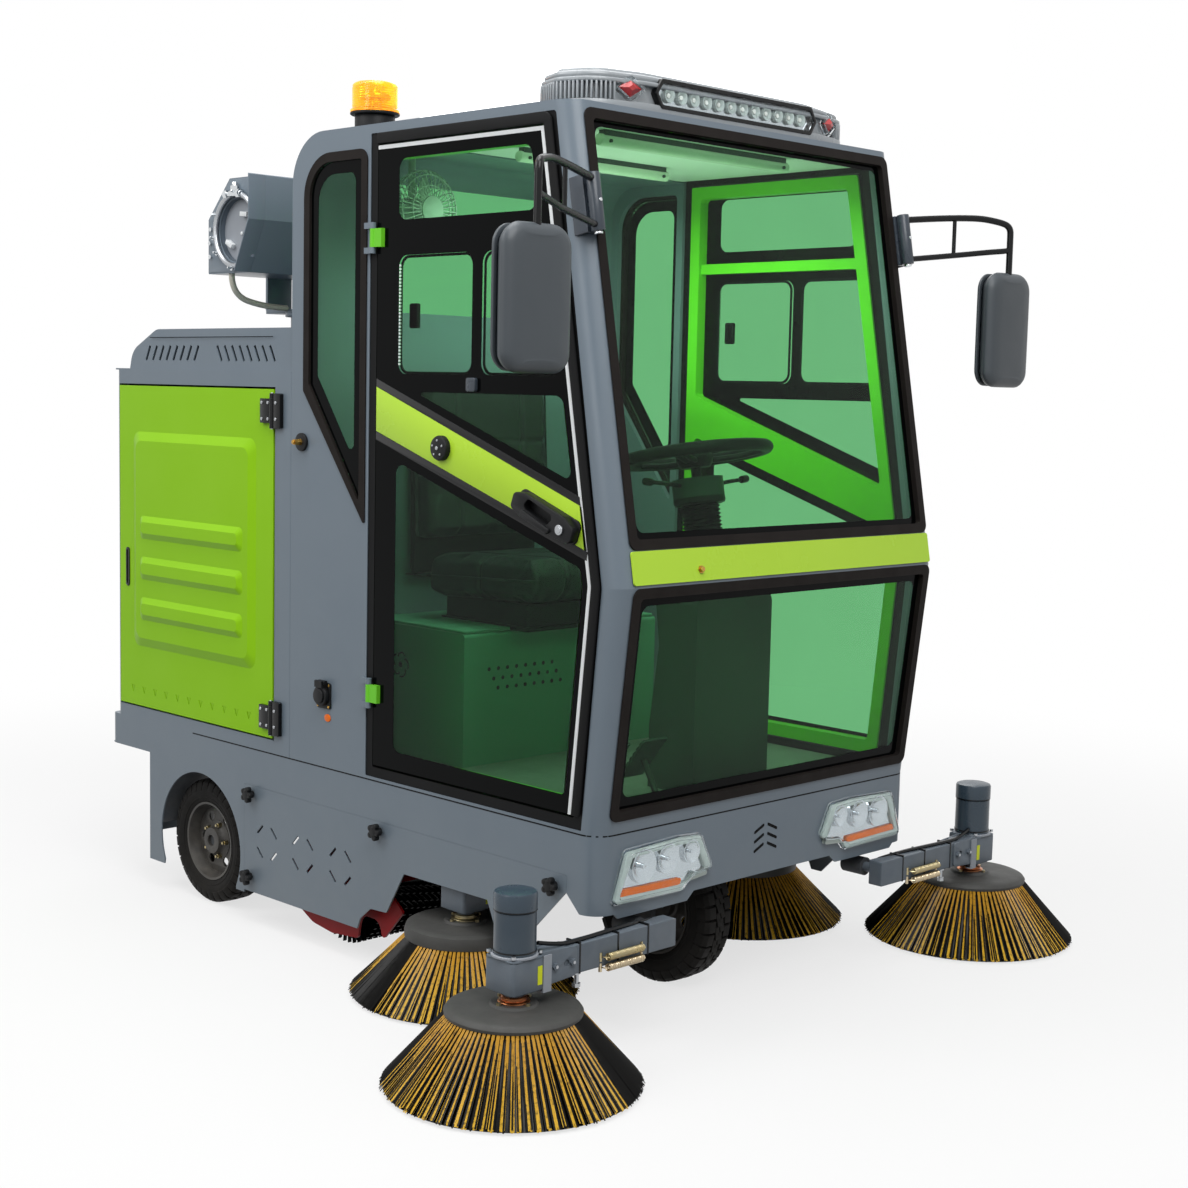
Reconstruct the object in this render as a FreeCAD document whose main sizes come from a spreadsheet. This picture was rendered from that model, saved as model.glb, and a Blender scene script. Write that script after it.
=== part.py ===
# Ride-on street sweeper with a glazed cab: three wheels, four side brushes, one main roller.
# Millimetres. +X is forward, +Y is the driver's left, +Z is up, and the ground is z = 0.
# The origin is on the ground under the middle of the overall box.
import FreeCAD, Part
import math
import os

V = FreeCAD.Vector
UP = V(0, 0, 1)
FORWARD = V(1, 0, 0)
LEFTWARD = V(0, 1, 0)

SIZES = [
    # body plan and heights
    ("half_width", 545),
    ("ledge_rear", -1105),
    ("apron_front", 812),
    ("deck_top", 455),
    ("ledge_bottom", 370),
    ("sheet", 4),
    ("corner_radius", 48),
    ("fender_rear", -910),
    ("fender_bottom", 75),
    ("arch_radius", 187),
    ("apron_bottom", 272),
    ("apron_middle_bottom", 291),
    # side skirts
    ("skirt_rear", -461),
    ("skirt_front", 725),
    ("skirt_top", 359),
    ("skirt_bottom", 82),
    ("skirt_seam", 0.4),
    ("vent_pitch", 152),
    ("vent_first", -362),
    ("vent_height", 221),
    # rear body, its doors and hood
    ("box_rear", -1078),
    ("box_top", 1404),
    ("box_wall", 25),
    ("service_door_rear", -1055),
    ("service_door_front", -338),
    ("service_door_bottom", 493),
    ("service_door_top", 1362),
    ("service_door_depth", 20),
    ("door_gap", 5),
    ("hood_top", 1512),
    ("hood_rear_low", -1016),
    ("hood_rear_high", -882),
    ("hood_inset", 6),
    # cab
    ("cab_rear", -266),
    ("cab_top", 1968),
    ("cab_wall", 36),
    ("roof_front", 690),
    ("prow_front", 870),
    ("prow_height", 977),
    ("cab_rear_arc", 120),
    ("door_rear", 65),
    ("door_bottom", 490),
    ("door_top", 1918),
    ("door_front_top", 612),
    ("door_front_knee", 780),
    ("door_knee_height", 975),
    ("door_front_bottom", 735),
    ("door_bar", 32),
    ("door_depth", 30),
    ("glass", 5),
    ("band_rear_top", 1375),
    ("band_rear_bottom", 1273),
    ("band_front_top", 1127),
    ("band_front_bottom", 1042),
    # wheels
    ("rear_axle_x", -665),
    ("rear_wheel_radius", 165),
    ("rear_wheel_width", 100),
    ("rear_wheel_y", "=half_width - 71"),
    ("front_axle_x", 566),
    ("front_wheel_y", -70),
    ("front_wheel_radius", 180),
    ("front_wheel_width", 100),
    ("axle_radius", 12),
    ("running_clearance", 0.05),
    # side brushes
    ("front_brush_x", 839),
    ("front_brush_y", "=half_width + 251"),
    ("mid_brush_x", 338),
    ("mid_brush_y", "=half_width - 57"),
    ("brush_radius", 266),
    ("brush_disc_radius", 139),
    ("brush_disc_bottom", 130),
    ("brush_tufts", 44),
    ("brush_disc_top", 165),
    ("brush_ground", 4),
    ("gearbox_bottom", 192),
    ("gearbox_top", 276),
    ("gearbox_side", 88),
    ("motor_radius", 44),
    ("front_motor_top", 398),
    ("mid_motor_top", 345),
    ("front_arm_x", 856),
    ("front_arm_pivot_y", "=half_width - 145"),
    ("mid_arm_pivot_y", 150),
    ("arm_pivot_z", 236),
    ("arm_wide", 38),
    ("arm_tall", 60),
    # main roller
    ("roller_x", -130),
    ("roller_radius", 139),
    ("roller_half_length", 484),
    # fog cannon
    ("cannon_x", -674),
    ("cannon_y", -200),
    ("cannon_z", 1782),
    ("cannon_half", 129),
    ("cannon_rise", 122),
    ("cannon_front", 230),
    ("cannon_back", 215),
]

doc = FreeCAD.newDocument("street_sweeper")
sheet = doc.addObject("Spreadsheet::Sheet", "Sizes")
for row, (alias, value) in enumerate(SIZES, start=1):
    sheet.set("A%d" % row, alias)
    sheet.set("B%d" % row, str(value))
    sheet.setAlias("B%d" % row, alias)
doc.recompute()


class SheetValues:
    def __getattr__(self, alias):
        return float(sheet.get(alias))


s = SheetValues()
nodes = {}


def corner_path(points):
    """Line and arc geometry of a closed outline of (u, v) or (u, v, radius) corners."""
    corners = [(V(p[0], p[1], 0), p[2] if len(p) > 2 else 0) for p in points]
    count = len(corners)
    starts, ends, arcs = [], [], []
    for index, (corner, radius) in enumerate(corners):
        before = (corners[index - 1][0] - corner).normalize()
        after = (corners[(index + 1) % count][0] - corner).normalize()
        if radius <= 0:
            starts.append(corner)
            ends.append(corner)
            arcs.append(None)
            continue
        half = before.getAngle(after) / 2
        reach = radius / math.tan(half)
        start = corner + before * reach
        end = corner + after * reach
        inward = (before + after).normalize()
        middle = corner + inward * (radius / math.sin(half) - radius)
        starts.append(start)
        ends.append(end)
        arcs.append(Part.Arc(start, middle, end))
    path = []
    for index in range(count):
        if arcs[index] is not None:
            path.append(arcs[index])
        nxt = (index + 1) % count
        if ends[index].distanceToPoint(starts[nxt]) > 1e-6:
            path.append(Part.LineSegment(ends[index], starts[nxt]))
    return path


def plane_placement(plane, offset):
    if plane == "XY":
        return FreeCAD.Placement(V(0, 0, offset), FreeCAD.Rotation())
    if plane == "XZ":
        return FreeCAD.Placement(V(0, offset, 0), FreeCAD.Rotation(FORWARD, 90))
    return FreeCAD.Placement(V(offset, 0, 0), FreeCAD.Rotation(V(1, 1, 1), 120))


NORMALS = {"XY": UP, "XZ": LEFTWARD, "YZ": FORWARD}


def outline_wire(plane, offset, points):
    wire = Part.Wire([piece.toShape() for piece in corner_path(points)])
    wire.Placement = plane_placement(plane, offset)
    return wire


def slab(plane, start, end, points):
    face = Part.Face(outline_wire(plane, start, points))
    return face.extrude(NORMALS[plane] * (end - start))


def block(x0, x1, y0, y1, z0, z1):
    return Part.makeBox(x1 - x0, y1 - y0, z1 - z0, V(x0, y0, z0))


def rod(radius, start, end):
    return Part.makeCylinder(radius, (end - start).Length, start, end - start)


def mirrored(shape):
    return shape.mirror(V(0, 0, 0), LEFTWARD)


def both_sides(shape):
    return [shape, mirrored(shape)]


def joined(shapes):
    return shapes[0].fuse(list(shapes[1:])).removeSplitter()


def without(shape, tools):
    return shape.cut(list(tools))


def piece(label, shape):
    """A finished sub-part whose shape is worked out from the sheet."""
    part = doc.addObject("Part::Feature", label)
    part.Label = label
    part.Shape = shape
    part.Placement = shape.Placement
    nodes[label] = part
    return part


def rectangle(u0, v0, u1, v1, radius=0):
    return [(u0, v0, radius), (u1, v0, radius), (u1, v1, radius), (u0, v1, radius)]


def body(label):
    part = doc.addObject("PartDesign::Body", label)
    part.Label = label
    nodes[label] = part
    return part


def sketch(part, name, role, geometry):
    drawing = part.newObject("Sketcher::SketchObject", name)
    plane = [f for f in part.Origin.OriginFeatures if f.Role == role][0]
    drawing.AttachmentSupport = [(plane, "")]
    drawing.MapMode = "FlatFace"
    for item in geometry:
        drawing.addGeometry(item, False)
    doc.recompute()
    return drawing


def turned(label, name, points, axis_place):
    """A body revolved about its sketch's vertical axis and then laid along its real axis."""
    part = body(label)
    section = sketch(part, name + "Section", "XZ_Plane", corner_path(points))
    turn = part.newObject("PartDesign::Revolution", name + "Turn")
    turn.Profile = section
    turn.ReferenceAxis = (section, ["V_Axis"])
    turn.Angle = 360
    part.Placement = axis_place
    doc.recompute()
    return part


# Lower body

def front_x(height):
    """Front face of the cab at a height: it leans out to the prow and back to the roof."""
    if height <= s.prow_height:
        share = (height - s.deck_top) / (s.prow_height - s.deck_top)
        return s.apron_front + share * (s.prow_front - s.apron_front)
    share = (height - s.prow_height) / (s.cab_top - s.prow_height)
    return s.prow_front + share * (s.roof_front - s.prow_front)


def plan_outline(rear, front, half, front_radius, rear_radius):
    return [(rear, -half, rear_radius), (front, -half, front_radius),
            (front, half, front_radius), (rear, half, rear_radius)]


def make_lower_body():
    inner_half = s.half_width - s.sheet
    wall_top = s.deck_top - s.sheet
    outer = slab("XY", s.fender_bottom, wall_top,
                 plan_outline(s.ledge_rear, s.apron_front, s.half_width, s.corner_radius, 20))
    inner = slab("XY", s.fender_bottom - 1, wall_top + 1,
                 plan_outline(s.ledge_rear + s.sheet, s.apron_front - s.sheet, inner_half,
                              s.corner_radius - s.sheet, 20 - s.sheet))
    shell = without(outer, [inner])
    wide = s.half_width + 20
    axle = V(s.rear_axle_x, -wide, s.rear_wheel_radius)
    cuts = [
        block(s.ledge_rear - 5, s.fender_rear, -wide, wide, 0, s.ledge_bottom),
        rod(s.arch_radius, axle, axle + LEFTWARD * 2 * wide),
        slab("XZ", -wide, wide, [(s.rear_axle_x - s.arch_radius, 0), (s.skirt_rear - 36, 0),
                                 (s.skirt_rear - 36, s.fender_bottom + 7),
                                 (s.rear_axle_x + 100, s.fender_bottom + 30),
                                 (s.rear_axle_x - 168, s.fender_bottom + 26)]),
        slab("XZ", -wide, wide, [(s.skirt_rear, 0), (s.skirt_front, 0),
                                 (s.skirt_front, s.skirt_top), (s.skirt_rear, s.skirt_top)]),
        slab("XZ", -wide, wide, [(s.skirt_front - 1, 0), (s.apron_front + 5, 0),
                                 (s.apron_front + 5, s.apron_bottom - 1),
                                 (s.skirt_front + 40, s.apron_bottom + 10),
                                 (s.skirt_front - 1, s.skirt_top - 38)]),
        slab("YZ", s.skirt_front, s.apron_front + 5, apron_cut()),
    ]
    walls = without(shell, cuts)
    rear_x = s.fender_rear + s.sheet
    piece("front_apron", walls.common(block(s.skirt_front, 900, -wide, wide, 0, 500)))
    piece("side_panels", walls.common(block(rear_x, s.skirt_front, -wide, wide, 0, 500)))
    rear_panel = block(s.fender_rear, rear_x, -inner_half, inner_half, 150, s.ledge_bottom)
    ledge_floor = block(s.ledge_rear + s.sheet, rear_x, -inner_half, inner_half,
                        s.ledge_bottom, s.ledge_bottom + s.sheet)
    lip = walls.common(block(s.ledge_rear - 5, rear_x, -wide, wide, 0, 500))
    piece("rear_ledge", joined([lip, rear_panel, ledge_floor]))
    liners = []
    for side in (-1, 1):
        low, high = sorted((side * (s.rear_wheel_y - s.rear_wheel_width / 2 - 22),
                            side * inner_half))
        tube = rod(s.arch_radius + s.sheet, V(s.rear_axle_x, low, s.rear_wheel_radius),
                   V(s.rear_axle_x, high, s.rear_wheel_radius))
        bore = rod(s.arch_radius, V(s.rear_axle_x, low - 1, s.rear_wheel_radius),
                   V(s.rear_axle_x, high + 1, s.rear_wheel_radius))
        reach = s.arch_radius + 20
        below = block(s.rear_axle_x - reach, s.rear_axle_x + reach, low - 2, high + 2,
                      -50, s.rear_wheel_radius + 20)
        liners.append(without(tube, [bore, below]))
    piece("arch_liners", Part.makeCompound(liners))


def make_deck():
    """The flat deck over the whole lower body, padded in a body of its own."""
    part = body("deck_plate")
    plan = sketch(part, "DeckPlan", "XY_Plane", corner_path(
        plan_outline(s.ledge_rear, s.apron_front, s.half_width, s.corner_radius, 20)))
    pad = part.newObject("PartDesign::Pad", "DeckPad")
    pad.Profile = plan
    pad.setExpression("Length", "Sizes.sheet")
    part.setExpression("Placement.Base.z", "Sizes.deck_top - Sizes.sheet")
    doc.recompute()


def apron_cut():
    lamp_edge = 240
    corner = 490
    wide = s.half_width + 20
    right = [(-wide, 0), (-wide, s.apron_bottom + 11), (-corner, s.apron_bottom + 11),
             (-corner + 12, s.apron_bottom), (-lamp_edge - 22, s.apron_bottom),
             (-lamp_edge, s.apron_middle_bottom)]
    left = [(-u, v) for u, v in reversed(right)]
    return right + left


def skirt_outline():
    seam = s.skirt_seam
    return [
        (s.skirt_rear + seam, s.skirt_bottom),
        (10, s.skirt_bottom + 2),
        (22, 112, 14),
        (60, 143, 20),
        (121, 146, 8),
        (184, 252),
        (475, 253),
        (523, 150),
        (555, 150),
        (s.skirt_front - seam, s.skirt_top - 36),
        (s.skirt_front - seam, s.skirt_top - seam),
        (s.skirt_rear + seam, s.skirt_top - seam),
    ]


def slot_outline(cx, cz, length, width, angle):
    """A straight slot's corners, turned about its own centre."""
    half_l, half_w = length / 2, width / 2
    cosine, sine = math.cos(math.radians(angle)), math.sin(math.radians(angle))
    corners = []
    for u, v in ((-half_l, -half_w), (half_l, -half_w), (half_l, half_w), (-half_l, half_w)):
        corners.append((cx + u * cosine - v * sine, cz + u * sine + v * cosine))
    return corners


def make_skirts():
    vent_ring = 42
    solids = []
    outer_y = -s.half_width
    plate = slab("XZ", outer_y, outer_y + s.sheet, skirt_outline())
    tools = []
    for index in range(3):
        cx = s.vent_first + index * s.vent_pitch
        for angle in (45, 135, 225, 315):
            u = cx + vent_ring * math.cos(math.radians(angle))
            v = s.vent_height + vent_ring * math.sin(math.radians(angle))
            tools.append(slab("XZ", outer_y - 2, outer_y + s.sheet + 2,
                              slot_outline(u, v, 34, 7, angle + 90)))
    plate = without(plate, tools)
    solids = both_sides(plate)
    piece("side_skirts", Part.makeCompound(solids))
    knobs = []
    for x, z in ((-425, 337), (94, 337), (689, 331), (-432, 122)):
        base = V(x, outer_y, z)
        stem = rod(9, base, base - LEFTWARD * 8)
        star = []
        for index in range(12):
            angle = math.radians(30 * index)
            reach = 20 if index % 2 else 15
            star.append((x + reach * math.cos(angle), z + reach * math.sin(angle)))
        head = slab("XZ", outer_y - 24, outer_y - 8, star)
        knobs.extend(both_sides(joined([stem, head])))
    piece("skirt_knobs", Part.makeCompound(knobs))


# Chassis

def make_chassis():
    rail_y = s.half_width - 245
    rail_half = 25
    top = s.deck_top - s.sheet
    bar_bottom = top - 20
    rail_bottom = bar_bottom - 50
    rails, lugs = [], []
    for side in (-1, 1):
        y = side * rail_y
        rails.append(joined([
            block(s.fender_rear + 10, s.apron_front - 30, y - rail_half, y + rail_half,
                  rail_bottom, bar_bottom),
            block(s.rear_axle_x - 30, s.rear_axle_x + 30, y - 6, y + 6,
                  s.rear_wheel_radius + 30, rail_bottom),
            block(s.roller_x - 60, s.roller_x + 60, y - 6, y + 6, 300, rail_bottom)]))
    piece("frame_rails", Part.makeCompound(rails))
    fork_x, fork_y = s.front_axle_x, s.front_wheel_y
    bars = [block(480, 765, fork_y - 55, 60, bar_bottom, top),
            block(200, 500, -170, 170, bar_bottom, top)]
    for x in (s.fender_rear + 30, -400, 90, 500, 745):
        reach = s.half_width - s.sheet - (0 if x < 700 else 12)
        bars.append(block(x - 20, x + 20, -reach, reach, bar_bottom, top))
    bore = rod(22 + s.running_clearance, V(fork_x, fork_y, 390), V(fork_x, fork_y, top - 6))
    piece("cross_members", without(joined(bars), [bore]))
    head = rod(34, V(fork_x, fork_y, 392), V(fork_x, fork_y, bar_bottom))
    lugs.append(without(head, [bore]))
    pin = s.axle_radius + s.running_clearance
    for side in (-1, 1):
        pivot = side * s.front_arm_pivot_y
        lug = joined([rod(22, V(740, pivot, s.arm_pivot_z), V(800, pivot, s.arm_pivot_z)),
                      block(735, 765, pivot - 8, pivot + 8, s.arm_pivot_z + 15, bar_bottom)])
        hole = rod(pin, V(730, pivot, s.arm_pivot_z), V(810, pivot, s.arm_pivot_z))
        lugs.append(without(lug, [hole]))
        pivot = side * s.mid_arm_pivot_y
        hole = rod(pin, V(200, pivot, s.arm_pivot_z), V(500, pivot, s.arm_pivot_z))
        for x in (s.mid_brush_x - 54, s.mid_brush_x + 26):
            lug = joined([rod(20, V(x, pivot, s.arm_pivot_z), V(x + 24, pivot, s.arm_pivot_z)),
                          block(x + 4, x + 20, pivot - 8, pivot + 8, s.arm_pivot_z + 12,
                                bar_bottom)])
            lugs.append(without(lug, [hole]))
    piece("arm_lugs", Part.makeCompound(lugs))


def make_rear_axle():
    z = s.rear_wheel_radius
    x = s.rear_axle_x
    inner = s.rear_wheel_y - s.rear_wheel_width / 2 - 12
    beam = rod(28, V(x, -inner, z), V(x, inner, z))
    stub = rod(s.axle_radius + 3, V(x, -s.rear_wheel_y - 28, z), V(x, s.rear_wheel_y + 28, z))
    motor = rod(75, V(x, -110, z), V(x, 30, z))
    gears = block(x - 95, x + 85, 30, 120, z - 70, z + 80)
    pads = [block(x - 28, x + 28, side * 300 - 20, side * 300 + 20, z, z + 30)
            for side in (-1, 1)]
    piece("rear_axle", joined([beam, stub, motor, gears] + pads))


def wheel_place(x, y, z):
    return FreeCAD.Placement(V(x, y, z), FreeCAD.Rotation(FORWARD, 90))


def make_wheel(prefix, x, y, radius, width, bore, outward):
    """A tyre and a dished steel rim turned about the axle; outward is -1 on the right."""
    half = width / 2
    rim = radius * 0.60
    tyre = [(rim, -half * 0.72), (radius - 32, -half), (radius, -half * 0.72),
            (radius, half * 0.72), (radius - 32, half), (rim, half * 0.72)]
    turned(prefix + "_tyre", prefix.title().replace("_", "") + "Tyre", tyre,
           wheel_place(x, y, radius))
    face = -outward * half
    wall = 4
    middle = face * 0.35
    rim_points = [
        (rim, -half * 0.72), (rim, half * 0.72), (rim - wall, half * 0.72),
        (rim - wall, middle + 9), (bore, middle + 22), (bore, middle - 22),
        (rim - wall, middle - 3), (rim - wall, -half * 0.72),
    ]
    part = turned(prefix + "_rim", prefix.title().replace("_", "") + "Rim", rim_points,
                  wheel_place(x, y, radius))
    return part


def make_wheels():
    bore = s.axle_radius + 3 + s.running_clearance
    for side, name in ((-1, "right"), (1, "left")):
        make_wheel("rear_%s" % name, s.rear_axle_x, side * s.rear_wheel_y, s.rear_wheel_radius,
                   s.rear_wheel_width, bore, side)
    make_wheel("front", s.front_axle_x, s.front_wheel_y, s.front_wheel_radius,
               s.front_wheel_width, s.axle_radius + s.running_clearance, 1)


def make_fork():
    x, y = s.front_axle_x, s.front_wheel_y
    z = s.front_wheel_radius
    leg_in = s.front_wheel_width / 2 + 9
    leg_out = leg_in + 12
    crown = z + s.front_wheel_radius + 9
    parts = [block(x - 40, x + 40, y - leg_out, y + leg_out, crown, crown + 16),
             rod(22, V(x, y, crown + 10), V(x, y, s.deck_top - s.sheet - 8)),
             rod(s.axle_radius, V(x, y - leg_out - 8, z), V(x, y + leg_out + 8, z))]
    for side in (-1, 1):
        low, high = sorted((y + side * leg_in, y + side * leg_out))
        parts.append(slab("XZ", low, high, [(x - 30, z - 30, 20), (x + 30, z - 30, 20),
                                            (x + 38, crown + 4), (x - 38, crown + 4)]))
    piece("steering_fork", joined(parts))


# Rear body, service doors and hood

def make_rear_body():
    half = s.half_width
    outer = slab("XY", s.deck_top, s.box_top, plan_outline(s.box_rear, s.cab_rear, half, 4, 22))
    wall = s.box_wall
    inner = block(s.box_rear + wall, s.cab_rear - wall, -half + wall, half - wall,
                  s.deck_top - 1, s.box_top + 1)
    gap = s.door_gap
    depth = s.service_door_depth + gap
    tools = [inner]
    lip = 14
    for side in (-1, 1):
        low, high = sorted((side * (half + 5), side * (half - depth)))
        tools.append(block(s.service_door_rear - gap, s.service_door_front + gap, low, high,
                           s.service_door_bottom - gap, s.service_door_top + gap))
        low, high = sorted((side * (half + 5), side * (half - wall - 5)))
        tools.append(block(s.service_door_rear + lip, s.service_door_front - lip, low, high,
                           s.service_door_bottom + lip, s.service_door_top - lip))
    walls = without(outer, tools)
    axis_x, axis_y = service_hinge_axis()
    leaves = []
    for z in SERVICE_HINGE_HEIGHTS:
        for low, high in ((z - 42, z - 30.3), (z + 30.3, z + 42)):
            leaves.append(rod(6, V(axis_x, -axis_y, low), V(axis_x, -axis_y, high)))
            leaves.append(block(axis_x, axis_x + 36, -axis_y - 2, -half + 2, low, high))
    leaves = [part for leaf in leaves for part in both_sides(leaf)]
    piece("rear_body", joined([walls] + leaves))


def make_battery():
    pack = doc.addObject("Part::Box", "battery_pack")
    pack.Label = "battery_pack"
    pack.setExpression("Length", "Sizes.cab_rear - Sizes.box_rear - 2 * Sizes.box_wall - 240")
    pack.setExpression("Width", "2 * Sizes.half_width - 2 * Sizes.box_wall - 300")
    pack.Height = 300
    pack.setExpression("Placement.Base.x", "Sizes.box_rear + Sizes.box_wall + 120")
    pack.setExpression("Placement.Base.y", "-(Sizes.half_width - Sizes.box_wall - 150)")
    pack.setExpression("Placement.Base.z", "Sizes.deck_top")
    nodes["battery_pack"] = pack


SERVICE_HINGE_HEIGHTS = (546, 1309)


def service_hinge_axis():
    return s.service_door_front + s.door_gap / 2, s.half_width + 8


def make_service_door(name, side):
    half = s.half_width
    x0, x1 = s.service_door_rear, s.service_door_front
    z0, z1 = s.service_door_bottom, s.service_door_top
    skin = 3
    tray = block(x0, x1, -half - 2, -half + s.service_door_depth, z0, z1)
    hollow = block(x0 + skin, x1 - skin, -half - 2 + skin, -half + s.service_door_depth + 1,
                   z0 + skin, z1 - skin)
    panel = without(tray, [hollow])
    raised = Part.makeLoft([
        outline_wire("XZ", -half - 1, rectangle(-987, 655, -408, 1242, 30)),
        outline_wire("XZ", -half - 11, rectangle(-960, 682, -435, 1215, 24))], True, True)
    ribs = []
    for index in range(3):
        z = 730 + index * 110
        ribs.append(Part.makeLoft([
            outline_wire("XZ", -half - 10, rectangle(-940, z, -455, z + 66, 16)),
            outline_wire("XZ", -half - 19, rectangle(-922, z + 18, -473, z + 48, 10))], True, True))
    slits = []
    for index in range(12):
        cx = -990 + index * 55
        slits.append(slab("XZ", -half - 6, -half + 5,
                          [(cx - 9, 546), (cx + 9, 546), (cx, 526)]))
    axis_x, axis_y = service_hinge_axis()
    knuckles = []
    for z in SERVICE_HINGE_HEIGHTS:
        knuckles.append(rod(6, V(axis_x, -axis_y, z - 30), V(axis_x, -axis_y, z + 30)))
        knuckles.append(block(axis_x - 36, axis_x, -axis_y - 2, -half - 1, z - 28, z + 28))
    door = without(joined([panel, raised] + ribs + knuckles), slits)
    piece("service_door_" + name, door if side < 0 else mirrored(door))


def make_hood():
    half = s.half_width - s.hood_inset
    low, high = s.hood_rear_low, s.hood_rear_high
    profile = [(low, s.box_top), (low + 14, s.box_top + 52, 60), (high, s.hood_top, 60),
               (s.cab_rear, s.hood_top), (s.cab_rear, s.box_top)]
    shell = slab("XZ", -half, half, profile)
    skin = 4
    inside = [(low + skin, s.box_top - 1), (low + 14 + skin, s.box_top + 50, 56),
              (high + 2, s.hood_top - skin, 56), (s.cab_rear - skin, s.hood_top - skin),
              (s.cab_rear - skin, s.box_top - 1)]
    core = slab("XZ", -half + skin, half - skin, inside)
    deck = block(s.box_rear, s.cab_rear, -s.half_width, s.half_width, s.box_top, s.box_top + skin)
    slots = []
    middle = -639
    for index in range(1, 9):
        for direction in (-1, 1):
            cx = middle + direction * (20 + index * 33)
            slots.append(slab("XZ", -half - 5, half + 5,
                              slot_outline(cx, 1449, 44, 9, -direction * 62)))
    hood = without(joined([shell, deck]), [core] + slots)
    piece("hood", hood)


# Cab

def cab_block(inset, floor):
    """The cab's outer skin, or its inner one when inset by the wall."""
    half = s.half_width - inset
    top = s.cab_top - inset
    profile = [(s.cab_rear + inset, floor), (front_x(floor) - inset, floor),
               (s.prow_front - inset, s.prow_height), (front_x(s.cab_top) - inset, top),
               (s.cab_rear + inset, top, s.cab_rear_arc - inset)]
    solid = slab("XZ", -half, half, profile)
    front_edges = []
    for edge in solid.Edges:
        middle = edge.CenterOfMass
        on_side = abs(abs(middle.y) - half) < 0.01
        if on_side and middle.x > s.roof_front - 60 and edge.BoundBox.ZLength > 100:
            front_edges.append(edge)
    return solid.makeFillet(max(s.corner_radius - inset, 12), front_edges)


def door_outline(grow):
    """The cab door's outline, grown outwards by a margin."""
    knee = s.door_knee_height
    return [
        (s.door_rear - grow, s.door_bottom - grow, 4),
        (s.door_front_bottom + grow, s.door_bottom - grow, 4),
        (s.door_front_knee + grow, knee, 60),
        (s.door_front_top + grow * 1.15, s.door_top + grow, 10),
        (s.door_rear - grow, s.door_top + grow, 4),
    ]


def quarter_outline(grow):
    return [
        (-200 - grow, 1372 - grow * 0.7, 8),
        (10 + grow, 1088 - grow * 2.4, 4),
        (10 + grow, 1900 + grow, 12 + grow),
        (-200 - grow, 1900 + grow, 84 + grow),
    ]


def screen_frame(lower_x, lower_z, upper_x, upper_z):
    """Placement of a sloped screen: u to the left, v up the slope, w outwards."""
    along = V(upper_x - lower_x, 0, upper_z - lower_z).normalize()
    outward = LEFTWARD.cross(along)
    return FreeCAD.Placement(FreeCAD.Matrix(
        LEFTWARD.x, along.x, outward.x, lower_x,
        LEFTWARD.y, along.y, outward.y, 0,
        LEFTWARD.z, along.z, outward.z, lower_z,
        0, 0, 0, 1))


def screens():
    """Each screen's frame and its opening: half width at foot and head, foot and head heights."""
    upper = screen_frame(s.prow_front, s.prow_height, s.roof_front, s.cab_top)
    upper_run = math.hypot(s.prow_front - s.roof_front, s.cab_top - s.prow_height)
    lower = screen_frame(s.apron_front, s.deck_top, s.prow_front, s.prow_height)
    lower_run = math.hypot(s.prow_front - s.apron_front, s.prow_height - s.deck_top)
    return ((upper, 92, upper_run - 29), (lower, 42, lower_run - 14))


def screen_outline(foot, head, grow, radius):
    half = s.half_width - 45 + grow
    return rectangle(-half, foot - grow, half, head + grow, radius)


def rear_window():
    half = s.half_width - 165
    return rectangle(-half, 1560, half, s.cab_top - 88, 40)


def placed(shape, frame):
    moved = shape.copy()
    moved.Placement = frame.multiply(moved.Placement)
    return moved


def make_cab_frame():
    outer = cab_block(0, s.deck_top)
    inner = cab_block(s.cab_wall, s.deck_top - 20)
    wide = s.half_width + 10
    tools = [inner,
             slab("XZ", -wide, wide, door_outline(s.door_gap + 24)),
             slab("XZ", -wide, wide, quarter_outline(4))]
    for frame, foot, head in screens():
        tools.append(placed(slab("XY", -70, 20, screen_outline(foot, head, 0, 14)), frame))
    tools.append(slab("YZ", s.cab_rear - 5, s.cab_rear + s.cab_wall + 5,
                      rear_window()))
    shell = without(outer, tools)
    axis_x, axis_y = door_hinge_axis()
    leaves = []
    for z in DOOR_HINGE_HEIGHTS:
        for low, high in ((z - 14, z - 0.3), (z + 42.3, z + 56)):
            leaves.append(rod(7, V(axis_x, -axis_y, low), V(axis_x, -axis_y, high)))
            leaves.append(block(axis_x - 29, axis_x, -axis_y - 3, -axis_y + 3, low, high))
            leaves.append(block(axis_x - 29, axis_x - 21, -axis_y, -s.half_width + 2, low, high))
    leaves = [part for leaf in leaves for part in both_sides(leaf)]
    piece("cab_frame", joined([shell] + leaves))


def make_door_seals():
    y = -s.half_width
    ring = slab("XZ", y + 2, y + 26, door_outline(s.door_gap + 24))
    hole = slab("XZ", y - 5, y + 40, door_outline(s.door_gap))
    piece("door_seals", Part.makeCompound(both_sides(without(ring, [hole]))))


def make_window_gaskets():
    rings = []
    for frame, foot, head in screens():
        lip = slab("XY", 0, 4, screen_outline(foot, head, 14, 20))
        ring = slab("XY", -22, 0, screen_outline(foot, head, 0, 14))
        hole = slab("XY", -30, 10, screen_outline(foot, head, -8, 10))
        rings.append(placed(without(joined([lip, ring]), [hole]), frame))
    y = -s.half_width
    lip = slab("XZ", y - 3, y, quarter_outline(16))
    ring = slab("XZ", y, y + 22, quarter_outline(4))
    hole = slab("XZ", y - 10, y + 40, quarter_outline(-6))
    rings.extend(both_sides(without(joined([lip, ring]), [hole])))
    piece("window_gaskets", Part.makeCompound(rings))


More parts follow.
